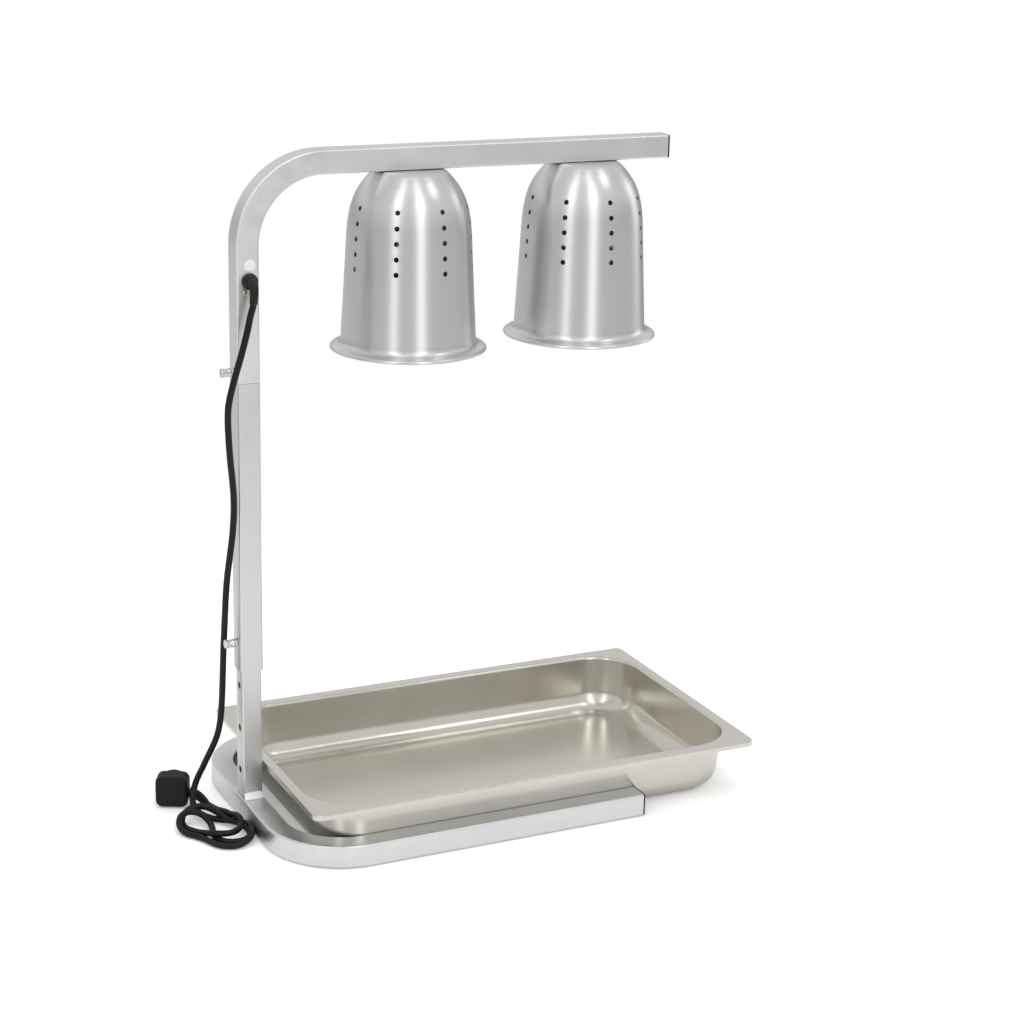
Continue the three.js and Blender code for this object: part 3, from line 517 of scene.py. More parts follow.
# ------------------------------------------------------------------ cord, before everything else
CORD_D = 7.0
ROUTE = [
    (0.4, -28.0, 576.5),
    (-1.4, -28.1, 570.8),
    (-3.1, -28.2, 565.0),
    (-4.5, -28.4, 559.2),
    (-5.9, -28.6, 553.4),
    (-7.4, -28.8, 547.6),
    (-9.0, -29.0, 541.8),
    (-10.7, -29.3, 536.0),
    (-12.5, -29.6, 530.3),
    (-14.2, -29.8, 524.6),
    (-16.1, -30.0, 518.9),
    (-17.9, -30.1, 513.1),
    (-19.7, -30.0, 507.4),
    (-21.4, -29.9, 501.7),
    (-23.0, -29.8, 495.9),
    (-24.5, -29.5, 490.1),
    (-25.9, -29.2, 484.3),
    (-27.0, -28.8, 478.4),
    (-27.9, -28.3, 472.5),
    (-28.2, -27.8, 466.5),
    (-28.2, -27.2, 460.5),
    (-28.0, -26.6, 454.6),
    (-27.7, -26.0, 448.6),
    (-27.2, -25.3, 442.6),
    (-26.8, -24.7, 436.7),
    (-26.3, -24.0, 430.8),
    (-25.7, -23.3, 424.8),
    (-25.1, -22.6, 418.9),
    (-24.4, -21.9, 413.0),
    (-23.7, -21.1, 407.1),
    (-22.9, -20.4, 401.2),
    (-22.1, -19.6, 395.3),
    (-21.4, -18.9, 389.4),
    (-20.7, -18.1, 383.5),
    (-20.0, -17.3, 377.6),
    (-19.5, -16.4, 371.6),
    (-19.1, -15.6, 365.7),
    (-18.9, -14.8, 359.8),
    (-18.8, -13.9, 353.8),
    (-18.8, -13.1, 347.9),
    (-18.9, -12.2, 342.0),
    (-19.1, -11.2, 336.0),
    (-19.3, -10.3, 330.1),
    (-19.7, -9.3, 324.2),
    (-20.0, -8.2, 318.3),
    (-20.5, -7.1, 312.4),
    (-20.9, -6.0, 306.6),
    (-21.3, -4.8, 300.7),
    (-21.7, -3.6, 294.8),
    (-22.1, -2.5, 288.9),
    (-22.5, -1.3, 283.1),
    (-22.7, -0.2, 277.2),
    (-23.0, 0.8, 271.3),
    (-23.1, 1.9, 265.4),
    (-23.2, 2.9, 259.5),
    (-23.3, 3.9, 253.5),
    (-23.3, 4.9, 247.6),
    (-23.3, 5.8, 241.7),
    (-23.3, 6.8, 235.8),
    (-23.3, 7.8, 229.9),
    (-23.3, 8.7, 223.9),
    (-23.3, 9.7, 218.0),
    (-23.3, 10.6, 212.1),
    (-23.3, 11.6, 206.2),
    (-23.4, 12.4, 200.2),
    (-23.4, 13.2, 194.3),
    (-23.4, 14.0, 188.3),
    (-23.4, 14.7, 182.4),
    (-23.4, 15.4, 176.4),
    (-23.4, 16.1, 170.4),
    (-23.4, 16.8, 164.5),
    (-23.5, 17.4, 158.5),
    (-23.5, 18.0, 152.5),
    (-23.6, 18.6, 146.6),
    (-23.7, 19.2, 140.6),
    (-23.8, 19.8, 134.6),
    (-24.0, 20.4, 128.7),
    (-24.2, 21.0, 122.7),
    (-24.6, 21.6, 116.7),
    (-25.1, 22.2, 110.8),
    (-25.7, 22.8, 104.9),
    (-26.6, 23.6, 99.0),
    (-27.7, 24.4, 93.1),
    (-29.2, 25.5, 87.4),
    (-30.9, 26.7, 81.8),
    (-32.9, 28.0, 76.3),
    (-35.0, 29.3, 70.8),
    (-37.1, 30.7, 65.4),
    (-39.2, 32.2, 60.0),
    (-41.1, 33.7, 54.5),
    (-42.6, 35.9, 49.1),
    (-44.1, 38.5, 43.9),
    (-45.6, 40.7, 38.5),
    (-47.6, 41.6, 33.0),
    (-49.8, 41.0, 27.4),
    (-52.0, 38.9, 22.2),
    (-54.0, 35.5, 17.8),
    (-55.5, 31.0, 14.2),
    (-56.2, 25.6, 11.6),
    (-55.9, 19.9, 9.7),
    (-54.6, 14.2, 8.3),
    (-52.3, 8.8, 7.3),
    (-48.7, 4.2, 6.1),
    (-44.1, 0.5, 4.8),
    (-39.0, -2.5, 3.9),
    (-33.7, -5.3, 3.7),
    (-28.8, -8.7, 3.7),
    (-24.3, -12.7, 3.7),
    (-20.7, -17.4, 3.7),
    (-18.2, -22.9, 3.7),
    (-16.9, -28.8, 3.7),
    (-16.8, -34.8, 3.7),
    (-16.7, -40.8, 3.7),
    (-16.9, -46.8, 3.7),
    (-18.5, -52.5, 3.7),
    (-21.7, -57.6, 3.7),
    (-26.3, -61.4, 3.7),
    (-31.9, -63.6, 3.7),
    (-37.9, -63.7, 3.7),
    (-43.6, -61.9, 3.7),
    (-48.4, -58.3, 3.7),
    (-52.0, -53.5, 3.7),
    (-54.2, -48.0, 3.7),
    (-55.0, -42.0, 3.7),
    (-54.4, -36.1, 3.7),
    (-53.1, -30.2, 3.7),
    (-51.5, -24.4, 3.7),
    (-50.4, -18.6, 4.4),
    (-50.3, -12.8, 6.0),
    (-51.6, -7.4, 8.2),
    (-54.2, -2.6, 10.7),
    (-58.3, 1.1, 13.0),
    (-63.6, 3.3, 14.6),
    (-69.6, 3.7, 15.3),
    (-75.3, 2.1, 14.7),
    (-79.9, -1.3, 13.1),
    (-82.9, -5.9, 10.7),
    (-84.1, -11.2, 8.2),
    (-83.5, -16.7, 5.9),
    (-81.5, -22.1, 4.3),
    (-78.3, -27.1, 3.7),
    (-74.5, -31.8, 3.7),
    (-71.1, -36.7, 3.7),
    (-68.2, -41.9, 3.7),
    (-65.5, -47.3, 3.7),
    (-63.3, -52.9, 3.7),
    (-61.0, -58.4, 3.7),
    (-58.0, -63.6, 3.7),
    (-53.8, -67.9, 3.7),
    (-48.7, -71.0, 3.7),
    (-43.0, -72.8, 3.8),
    (-37.0, -73.0, 4.3),
    (-31.3, -71.7, 5.4),
    (-26.1, -69.0, 6.8),
    (-21.9, -65.0, 8.4),
    (-18.9, -60.0, 9.7),
    (-17.2, -54.3, 10.5),
    (-16.8, -48.3, 10.8),
    (-17.2, -42.3, 10.8),
    (-18.4, -36.5, 10.4),
    (-20.7, -31.1, 9.4),
    (-23.7, -26.0, 8.1),
    (-27.1, -21.1, 7.5),
    (-30.5, -16.2, 7.8),
    (-33.6, -11.2, 9.1),
    (-36.1, -5.9, 10.5),
    (-38.4, -0.6, 11.7),
    (-41.3, 4.5, 13.0),
    (-45.4, 8.8, 14.3),
    (-50.4, 11.9, 15.2),
    (-56.1, 13.8, 15.3),
    (-62.0, 14.1, 14.5),
    (-67.6, 12.7, 12.9),
    (-72.4, 9.8, 10.8),
    (-75.8, 5.5, 8.4),
    (-77.6, 0.2, 6.3),
    (-77.9, -5.6, 4.7),
    (-76.7, -11.4, 3.9),
    (-74.1, -16.8, 3.7),
    (-70.8, -21.8, 3.7),
    (-67.6, -26.9, 4.2),
    (-65.2, -32.2, 5.5),
    (-63.4, -37.7, 7.2),
    (-61.1, -43.0, 8.8),
    (-57.6, -47.7, 10.0),
    (-52.9, -51.4, 10.6),
    (-47.4, -53.7, 10.6),
    (-41.4, -54.2, 10.5),
    (-35.6, -52.8, 10.7),
    (-30.6, -49.7, 11.4),
    (-26.7, -45.3, 12.6),
    (-24.4, -40.0, 14.2),
    (-23.5, -34.2, 15.5),
    (-23.5, -28.2, 15.8),
    (-24.2, -22.3, 14.8),
    (-25.2, -16.6, 13.3),
    (-26.5, -11.0, 11.7),
    (-29.9, -1.5, 11.3),
    (-31.1, 6.2, 9.3),
    (-32.3, 13.8, 7.4),
    (-33.6, 21.4, 6.1),
    (-35.6, 28.8, 5.7),
    (-38.0, 36.2, 6.1),
]
route = spline(ROUTE, 2.0)
cord = round_tube("supply_cord", route, CORD_D / 2, M_CORD, 16)
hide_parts("cord_drop", "cord_hank", "cord_tail")

# ------------------------------------------------------------------ base
def base_tube():
    z, y, R = 13.5, 156.5, 75.5
    st = []
    for i in range(13):  # straight run, near side, from the open end
        st.append(((399 - (399 - R) * i / 13, -y, z), (-1, 0, 0), (0, 0, 1)))
    n = 26
    for i in range(n + 1):
        a = math.pi / 2 * i / n
        st.append(((R - R * math.sin(a), -y + R - R * math.cos(a), z), (-math.cos(a), math.sin(a), 0), (0, 0, 1)))
    k1 = len(st)
    for i in range(1, 8):
        st.append(((0, -y + R + (2 * y - 2 * R) * i / 8, z), (0, 1, 0), (0, 0, 1)))
    for i in range(n + 1):
        a = math.pi / 2 * i / n
        st.append(((R - R * math.cos(a), y - R + R * math.sin(a), z), (math.sin(a), math.cos(a), 0), (0, 0, 1)))
    k2 = len(st)
    for i in range(1, 14):
        st.append(((R + (399 - R) * i / 13, y, z), (1, 0, 0), (0, 0, 1)))
    bend = lambda i: 12 <= i < k1 - 1 or k2 - n - 2 <= i < k2 - 1
    # the wall draws in slightly on the inside of each bend: kept straight here
    ob = square_tube("base_tube", st, 25, 2.2, 22.2, M_BASE_PAINTED_SHADE, 5, M_BASE_BEND, bend)
    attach(ob, "base"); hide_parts("base_frame")
    return ob


base_tube()


def end_cap(name, node, x, y, z, body):
    def ring(d, inset, side=25.0, r=2.2):
        return [(x + d, y + p, z + q) for p, q in square_ring(side - 2 * inset, max(0.4, r - inset), 5)]

    rings = [ring(-11.4, 0.5, 21.4, 1.2), ring(-0.1, 0.0, 21.4, 1.2), ring(0.0, 0.5), ring(0.15, 0.1), ring(0.5, 0.0), ring(1.3, 0.0), ring(1.7, 0.25), ring(1.9, 0.8)]
    ob = loft_rings(name, rings, M_CAP, True, 50)
    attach(ob, body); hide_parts(node)


end_cap("end_cap_near", "base_end_cap_near", 399.3, -156.5, 13.5, "base")
end_cap("end_cap_far", "base_end_cap_far", 399.3, 156.5, 13.5, "base")
end_cap("end_cap_arm", "arm_end_cap", 484.3, 0, 715.5, "head")

# ------------------------------------------------------------------ lower post with its holes
def cyl(d, a, b, axis, p, q, segs=40):
    """a plain cutter along an axis from a to b"""
    put = {"x": lambda v: (v[2], p + v[0], q + v[1]), "y": lambda v: (p + v[0], v[2], q + v[1]), "z": lambda v: (p + v[0], q + v[1], v[2])}[axis]
    ob = lathe("cutter", [(0, a), (d / 2, a), (d / 2, b), (0, b)], M_CAP, segs, put)
    ob.modifiers.clear()
    return ob


def upright(name, side, r, bore, z0, z1, mat, n=6):
    st = [((0, 0, z0 + (z1 - z0) * i / n), (0, 0, 1), (0, 1, 0)) for i in range(n + 1)]
    return square_tube(name, st, side, r, bore, mat, 6)


HOLES = (57.5, 106.5, 155.5, 204.5)
post = upright("post_tube", 21.4, 1.5, 18.4, 26.3, 280, M_POST_PAINTED_SHADE)
drill(post, [cyl(8.6, -14, -6, "x", 0, z) for z in HOLES])
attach(post, "base"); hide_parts("lower_post")
for i, z in enumerate(HOLES):
    # a thin liner pressed into each hole, flush with the face
    ring = lathe(f"hole_liner_{i + 1}", [(3.55, 0), (3.7, -0.1), (4.2, -0.1), (4.25, 0.0), (4.25, 1.9), (4.15, 2.0), (3.6, 2.0), (3.55, 1.9), (3.55, 0)], M_RIM, 36, lambda p, z=z: (-10.62 + p[2], p[1], z + p[0]))
    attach(ring, "base")


def weld(name, node, s):
    # a ground fillet, thicker in the middle, its outline slightly wavy
    prof = [(0.0, 7.0), (0.5, 6.9), (1.3, 5.2), (2.4, 3.6), (3.9, 2.1), (5.0, 0.9), (5.2, 0.35), (5.1, 0.0), (0.0, 0.0)]
    rings = []
    for i in range(25):
        x = -10.3 + 20.6 * i / 24
        k = 1 - 0.16 * abs(x / 10.3) ** 6
        w = 1 + 0.03 * math.sin(x * 1.9) + 0.025 * math.sin(x * 4.3 + 1)
        rings.append([(x, s * (10.7 + 0.25 + d * k * w * 0.95), 26.25 + h * k * min(1.0, w)) for d, h in prof])
    ob = loft_rings(name, rings, M_WELD, True, 60)
    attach(ob, "base"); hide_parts(node)


weld("weld_front", "post_weld_front", -1)
weld("weld_back", "post_weld_back", 1)

# ------------------------------------------------------------------ sleeve and arm
sleeve = upright("sleeve_tube", 25, 2.2, 22.2, 174, 490.85, M_SLEEVE_PAINTED_SHADE)
drill(sleeve, [cyl(7, -20, -6, "x", 0, 204.5)])
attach(sleeve, "head"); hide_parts("mast_sleeve")


def arm():
    R, zc = 83.5, 715.5
    st = []
    for i in range(7):
        st.append(((0, 0, 491.15 + (zc - R - 491.15) * i / 7), (0, 0, 1), (0, 1, 0)))
    n = 34
    for i in range(n + 1):
        a = math.pi / 2 * i / n
        st.append(((R - R * math.cos(a), 0, zc - R + R * math.sin(a)), (math.sin(a), 0, math.cos(a)), (0, 1, 0)))
    for i in range(1, 15):
        st.append(((R + (484 - R) * i / 14, 0, zc), (1, 0, 0), (0, 1, 0)))
    ob = square_tube("arm_gooseneck", st, 25, 2.2, 22.2, M_TUBE, 6, M_BEND, lambda i: 6 <= i < n + 7)
    cuts = [cyl(7, -20, -6, "x", 0, 501.5), cyl(12.4, -20, -6, "y", 1.9, 597.9), cyl(3.4, -20, -6, "y", -3.1, 586.4, 20)]
    cuts += [cyl(10.8, 698, 709, "z", x, 0) for x in (183.3, 387.7)]
    drill(ob, cuts)
    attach(ob, "head"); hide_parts("arm_tube")


arm()

# ------------------------------------------------------------------ plungers
def plunger(tag, z, tip, body):
    bush = lathe(f"bush_{tag}", [(3.2, 12.85), (4.4, 12.85), (4.7, 13.1), (4.7, 15.3), (4.45, 15.6), (3.3, 15.6), (3.2, 15.5), (3.2, 12.85)], M_ZINC, 40, to_x(-1, 0, z))
    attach(bush, "head"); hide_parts(f"plunger_bush_{tag}")
    a = -tip
    prof = [(0, a), (2.2, a), (2.6, a + 0.3), (2.9, a + 0.9), (2.9, 15.9), (4.15, 15.9), (4.6, 16.1), (4.9, 16.5), (4.9, 17.9), (4.65, 18.3), (4.35, 18.7), (4.25, 20.0), (4.22, 21.0), (4.25, 22.0), (4.35, 23.6), (4.65, 24.1), (4.9, 24.5), (4.9, 25.6), (4.75, 25.95), (4.4, 26.2), (1.6, 26.2), (1.2, 25.9), (0, 25.8)]
    knob = lathe(f"knob_{tag}", prof, M_ZINC, 48, to_x(-1, 0, z), 40)
    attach(knob, body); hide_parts(f"plunger_knob_{tag}")


plunger("lower", 204.5, -11.1, "plunger_lower")
plunger("upper", 501.5, -9.0, "plunger_upper")

# ------------------------------------------------------------------ gland, relief, screw, disc
GX, GZ = 1.9, 597.9
gprof = [(0, 8.7), (5.7, 8.7), (5.8, 8.8), (5.8, 12.7), (8.1, 12.7), (8.45, 13.0), (8.5, 13.5), (8.5, 15.2), (8.35, 15.7), (7.95, 16.0), (7.4, 16.1), (6.9, 16.7), (6.4, 18.2), (6.0, 19.2), (5.5, 19.75), (5.2, 19.95), (0, 20.0)]
gland = lathe("gland_body", gprof, M_GLAND, 48, to_y(-1, GX, GZ), 40)
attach(gland, "head"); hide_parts("cable_gland")
y0 = -20.3
rp = spline([(GX, y0, GZ), (GX, y0 - 2.2, GZ - 0.5), (GX - 0.1, y0 - 4.7, GZ - 2.6), (GX - 0.3, y0 - 6.6, GZ - 6.0), (GX - 0.7, y0 - 7.6, GZ - 10.5), (GX - 1.1, y0 - 7.75, GZ - 16), (0.5, -28.0, 576.9)], 0.8)
k = np.linspace(0, 1, len(rp))
rad = 5.0 - 1.0 * k + 0.22 * (np.sin(k * 2 * math.pi * 7) > 0.2) * (k > 0.15) * (k < 0.93)
relief = round_tube("gland_relief", rp, rad, M_GLAND, 24, 30)
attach(relief, "head"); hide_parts("strain_relief")
screw = lathe("screw_body", [(0, 5.9), (1.5, 5.9), (1.5, 12.8), (2.55, 12.8), (2.7, 12.95), (2.7, 13.7), (2.45, 14.4), (1.9, 14.9), (1.1, 15.15), (0, 15.2)], M_BRASS, 36, to_y(-1, -3.1, 586.4))
slot = []
for w, h in ((0.7, 3.4), (3.4, 0.7)):
    c = build("cutter", [(-3.1 + sx * w / 2, yy, 586.4 + sz * h / 2) for yy in (-17, -14.3) for sx, sz in ((-1, -1), (1, -1), (1, 1), (-1, 1))], [(0, 1, 2, 3), (7, 6, 5, 4), (0, 4, 5, 1), (1, 5, 6, 2), (2, 6, 7, 3), (3, 7, 4, 0)], M_CAP)
    c.modifiers.clear()
    fix_normals(c)
    slot.append(c)
drill(screw, slot)
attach(screw, "head"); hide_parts("earth_screw")
disc = lathe("mark_disc", [(0, 12.8), (6.2, 12.8), (6.3, 12.85), (6.3, 13.05), (6.1, 13.2), (0, 13.2)], M_LABEL, 64, to_y(-1, 2.1, 614.4))
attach(disc, "head"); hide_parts("marking_disc")

# ------------------------------------------------------------------ shades
SHADE = [(5.4, 702.7), (20, 702.7), (35.4, 702.7), (38.3, 701.6), (41.4, 698.6), (45.5, 694.2), (51.0, 687.4), (55.3, 680.5), (58.3, 674.3), (60.6, 668.4), (62.2, 662.6), (63.2, 658.0), (64.3, 652.0), (65.1, 646.0), (65.7, 639.5), (66.25, 631.5), (66.85, 620.0), (67.3, 610.0), (68.5, 589), (69.6, 567), (70.9, 545), (71.75, 529), (71.95, 525.6), (72.3, 523.2), (73.2, 521.0), (74.8, 519.2), (77.2, 518.0), (79.6, 517.2), (81.6, 516.5), (83.0, 515.6), (83.75, 514.5), (83.75, 513.3), (83.0, 512.5), (82.0, 512.3), (81.2, 512.9), (81.1, 513.9), (81.7, 514.5)]


def shade(tag, lx, turn):
    P = np.array(SHADE)
    d = np.concatenate([[0], np.cumsum(np.linalg.norm(np.diff(P, axis=0), axis=1))])

    def at(s):
        return np.array([np.interp(s, d, P[:, 0]), np.interp(s, d, P[:, 1])])

    def s_of_z(z):
        i = [j for j in range(len(P) - 1) if P[j, 1] >= z > P[j + 1, 1]][0]
        return d[i] + (P[i, 1] - z) / (P[i, 1] - P[i + 1, 1]) * (d[i + 1] - d[i])

    vents = [s_of_z(z) for z in (666.4, 650.4, 634.7, 618.8, 603.1)]
    # a smooth curve through the section: resample with a light filter
    fine = np.linspace(0, d[-1], 700)
    F = np.array([at(s) for s in fine])
    for _ in range(10):
        G = F.copy()
        G[1:-1] = 0.25 * F[:-2] + 0.5 * F[1:-1] + 0.25 * F[2:]
        F = G

    def smooth_at(s):
        return np.interp(s, fine, F[:, 0]), np.interp(s, fine, F[:, 1])

    gaps = [vents[0] - 8.0] + [(a + b) / 2 for a, b in zip(vents, vents[1:])] + [vents[-1] + 8.0]
    rows = list(np.linspace(0, 29, 5)) + list(np.linspace(31, gaps[0], 14))
    cell_row = {}
    for i in range(5):
        cell_row[len(rows) - 1] = i
        rows += list(np.linspace(gaps[i], gaps[i + 1], 5))[1:]
    rows += list(np.linspace(gaps[-1], s_of_z(527), 14))[1:]
    rows += list(np.linspace(s_of_z(526), d[-1], 30))
    N = 128
    R0 = 66.0
    verts, faces, uvs = [], [], []
    grid = np.zeros((len(rows), N), int)

    def put(s, ang):
        r, z = smooth_at(s)
        verts.append((lx + r * math.cos(ang), r * math.sin(ang), z))
        return len(verts) - 1

    a0 = math.radians(turn)
    for i, s in enumerate(rows):
        for k in range(N):
            grid[i, k] = put(s, a0 + 2 * math.pi * k / N)
    used = set()
    for row0, vi in cell_row.items():
        for col in range(8):
            kc = col * 16  # the vent's middle column
            # the cell covers columns kc-2..kc+2 and rows row0..row0+4
            edge = []
            for j in range(4):
                edge.append((row0, kc - 2 + j))
            for j in range(4):
                edge.append((row0 + j, kc + 2))
            for j in range(4):
                edge.append((row0 + 4, kc + 2 - j))
            for j in range(4):
                edge.append((row0 + 4 - j, kc - 2))
            for a in range(4):
                for b in range(4):
                    used.add((row0 + a, (kc - 2 + b) % N))
            sc, ac = vents[vi], a0 + 2 * math.pi * kc / N
            rr = smooth_at(sc)[0]
            loops = [[grid[i, k % N] for i, k in edge]]
            par = [[((rows[i] - sc), (k - kc) * 2 * math.pi / N * rr) for i, k in edge]]
            for rad in (3.9, 3.0, 2.75):
                lp, pr = [], []
                for (ds, da) in par[0]:
                    ang = math.atan2(ds, da)
                    # shift towards the circle, evenly spaced by the edge's own angle
                    x, y = rad * math.cos(ang), rad * math.sin(ang)
                    lp.append(put(sc + y, ac + x / rr))
                    pr.append((y, x))
                loops.append(lp)
                par.append(pr)
            for q in range(3):
                A, B = loops[q], loops[q + 1]
                pa, pb = par[q], par[q + 1]
                for j in range(16):
                    j2 = (j + 1) % 16
                    faces.append([A[j], A[j2], B[j2], B[j]])
                    uvs.append([((ac * R0 + p[1]) / 1000, (sc + p[0]) / 1000) for p in (pa[j], pa[j2], pb[j2], pb[j])])
    for i in range(len(rows) - 1):
        for k in range(N):
            if (i, k) in used:
                continue
            k2 = (k + 1) % N
            faces.append([grid[i, k], grid[i, k2], grid[i + 1, k2], grid[i + 1, k]])
            u0, u1 = 2 * math.pi * k / N * R0 / 1000, 2 * math.pi * (k + 1) / N * R0 / 1000
            uvs.append([(u0, rows[i] / 1000), (u1, rows[i] / 1000), (u1, rows[i + 1] / 1000), (u0, rows[i + 1] / 1000)])
    ob = build(f"reflector_shade_{tag}", verts, faces, M_SHADE, uvs, sharp=0, wn=False)
    fix_normals(ob)
    c = sum((p.normal.dot(Vector((p.center[0] - W(lx, 0, 0)[0], p.center[1], 0))) for p in ob.data.polygons))
    if c < 0:
        ob.data.flip_normals()
    mod = ob.modifiers.new("sheet", "SOLIDIFY")
    mod.thickness = 0.001
    mod.offset = -1
    mod.use_even_offset = True
    bake(ob)
    ob.data.polygons.foreach_set("use_smooth", [True] * len(ob.data.polygons))
    ob.data.set_sharp_from_angle(angle=math.radians(50))
    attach(ob, "head"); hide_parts(f"shade_{tag}")
    # rim of the flat top round the threaded tube is hidden by a washer
    washer = lathe(f"washer_{tag}", [(5.3, 701.45), (5.3, 701.65), (9.6, 701.65), (9.7, 701.6), (9.7, 701.5), (9.6, 701.45), (5.3, 701.45)], M_ZINC, 40, lambda p: (lx + p[0], p[1], p[2]))
    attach(washer, "head")
    sock = lathe(f"lampholder_{tag}", [(0, 688.5), (5.4, 688.5), (5.4, 696.5), (5.8, 696.9), (12.2, 696.9), (13.4, 696.4), (15.5, 694.0), (18.4, 691.2), (19.8, 689.0), (20.6, 685.5), (21.0, 681.5), (21.0, 676.2), (20.4, 675.6), (20.4, 674.4), (21.0, 673.8), (21.0, 662.5), (20.7, 657.5), (19.8, 653.2), (18.8, 652.2), (15.2, 652.0), (14.2, 652.6), (14.0, 654.0), (14.0, 684.0), (0, 684.0)], M_CERAMIC, 56, lambda p: (lx + p[0], p[1], p[2]))
    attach(sock, "head"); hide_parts(f"socket_{tag}")
    cap = [(0, 683.3), (3.2, 683.3), (4.5, 682.9), (5.2, 681.4), (9.0, 678.6), (12.2, 676.9)]
    for j in range(36):
        z = 676.0 - j * 0.5
        cap.append((12.72 + 0.42 * math.cos(j * 2 * math.pi / 7.2), z))
    cap += [(12.9, 657.0), (13.3, 654.5), (13.6, 651.5), (13.6, 648.6), (13.2, 648.2), (0, 648.2)]
    bc = lathe(f"bulb_base_{tag}", cap, M_ZINC, 48, lambda p: (lx + p[0], p[1], p[2]))
    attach(bc, "head"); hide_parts(f"bulb_cap_{tag}")
    prof = [(0, 647.9), (13.6, 647.9), (14.2, 647.4), (14.6, 645.6), (15.6, 642.6), (17.4, 638.2), (20.0, 633.0), (24.4, 625.6), (30.0, 617.0), (36.2, 607.6), (42.0, 598.0), (46.8, 588.8), (50.5, 580.0), (53.6, 571.0), (56.0, 562.0), (57.5, 555.0), (58.0, 549.0), (57.6, 545.0), (56.0, 540.9), (53.6, 537.6), (50.0, 535.0), (44.0, 532.3), (36.0, 530.0), (27.0, 528.5), (18.0, 527.6), (9.0, 527.15), (0, 527.0)]
    gl = lathe(f"bulb_glass_{tag}", prof, M_BULB, 72, lambda p: (lx + p[0], p[1], p[2]))
    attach(gl, "head"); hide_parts(f"bulb_{tag}")


shade("left", 183.3, 10.6)
shade("right", 387.7, 1.0)

# ------------------------------------------------------------------ pan
def pan():
    PX, HL, HW, OL, OW, H, T = 279, 265, 162.5, 252.5, 147.5, 65.0, 0.9
    lean = math.radians(6.0)
    prof = []  # (inset length, inset width, corner radius, z) of the inner, upper face
    # turned-down edge, then the flange
    prof.append((0, 0, 9.0, 58.7))
    prof.append((0, 0, 9.0, 60.6))
    for i in range(7):
        a = math.pi / 2 * i / 6
        k = 1.7 * (1 - math.cos(a))
        prof.append((k, k, 9.0 - k, H - 1.7 + 1.7 * math.sin(a)))
    fl, fw = HL - OL - 3.6, HW - OW - 3.6
    for i in range(1, 4):
        t = i / 3
        prof.append((1.7 + (fl - 1.7) * t, 1.7 + (fw - 1.7) * t, 7.3 + (57.5 - 7.3) * t, H))
    # rounding from the flange to the wall, then the wall, the cove and the floor
    cx, cz = -3.6, H - 4.0
    for i in range(1, 9):
        a = math.pi / 2 + (lean - math.pi / 2) * i / 8
        dd, zz = cx + 4.0 * math.cos(a), cz + 4.0 * math.sin(a)
        prof.append((HL - OL + dd, HW - OW + dd, 54.0 - dd * 0.95, zz))
    rho = 24.0
    fx, fz = 28.35, T + rho
    w0 = (cx + 4.0 * math.cos(lean), cz + 4.0 * math.sin(lean))
    w1 = (fx - rho * math.cos(lean), fz - rho * math.sin(lean))
    for i in range(1, 9):
        t = i / 8
        dd, zz = w0[0] + (w1[0] - w0[0]) * t, w0[1] + (w1[1] - w0[1]) * t
        prof.append((HL - OL + dd, HW - OW + dd, 54.0 - dd * 0.95, zz))
    for i in range(1, 15):
        a = math.pi + lean + (math.pi / 2 - lean) * i / 14
        dd, zz = fx + rho * math.cos(a), fz + rho * math.sin(a)
        prof.append((HL - OL + dd, HW - OW + dd, 54.0 - dd * 0.95, zz))
    for dd in (31.0, 36.0, 46.0, 70.0, 110.0):
        prof.append((HL - OL + dd, HW - OW + dd, max(1.0, 54.0 - dd * 0.95), T))
    seg, rings = 14, []
    for il, iw, r, z in prof:
        hl, hw = HL - il, HW - iw
        ring = []
        for sx, sy, a0 in ((1, 1, 0), (-1, 1, 90), (-1, -1, 180), (1, -1, 270)):
            for i in range(seg + 1):
                t = math.radians(a0 + 90 * i / seg)
                ring.append((PX + sx * (hl - r) + r * math.cos(t), sy * (hw - r) + r * math.sin(t), z))
            # points along the straight side up to the next corner
            nx, ny, na = {0: (-1, 1, 90), 90: (-1, -1, 180), 180: (1, -1, 270), 270: (1, 1, 0)}[a0]
            e = ring[-1]
            t2 = math.radians(na)
            f = (PX + nx * (hl - r) + r * math.cos(t2), ny * (hw - r) + r * math.sin(t2), z)
            for i in range(1, 8):
                ring.append(tuple(e[c] + (f[c] - e[c]) * i / 8 for c in range(3)))
        rings.append(ring)
    n = len(rings[0])
    verts = [p for r in rings for p in r]
    faces = []
    for i in range(len(rings) - 1):
        for j in range(n):
            q = (j + 1) % n
            faces.append([i * n + j, i * n + q, (i + 1) * n + q, (i + 1) * n + j])
    faces.append([(len(rings) - 1) * n + j for j in range(n)])
    ob = build("gn_pan", verts, faces, M_PAN, None, sharp=0, wn=False)
    fix_normals(ob)
    floor = max(ob.data.polygons, key=lambda p: len(p.vertices))
    if floor.normal.z < 0:
        ob.data.flip_normals()
    mod = ob.modifiers.new("sheet", "SOLIDIFY")
    mod.thickness = T / 1000
    mod.offset = -1
    mod.use_even_offset = True
    bake(ob)
    ob.data.polygons.foreach_set("use_smooth", [True] * len(ob.data.polygons))
    ob.data.set_sharp_from_angle(angle=math.radians(45))
    mod = ob.modifiers.new("weighted", "WEIGHTED_NORMAL")
    mod.keep_sharp = True
    mod.weight = 60
    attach(ob, "pan"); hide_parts("gastronorm_pan")


pan()

# ------------------------------------------------------------------ plug
PC = (-68.0, 63.0, 18.7)
PT = math.atan2(0.9, 0.44)


def plug_at(p):
    """local x along the pins, y to the left of them, z up"""
    x, y, z = p
    return (PC[0] + x * math.cos(PT) - y * math.sin(PT), PC[1] + x * math.sin(PT) + y * math.cos(PT), PC[2] + z)


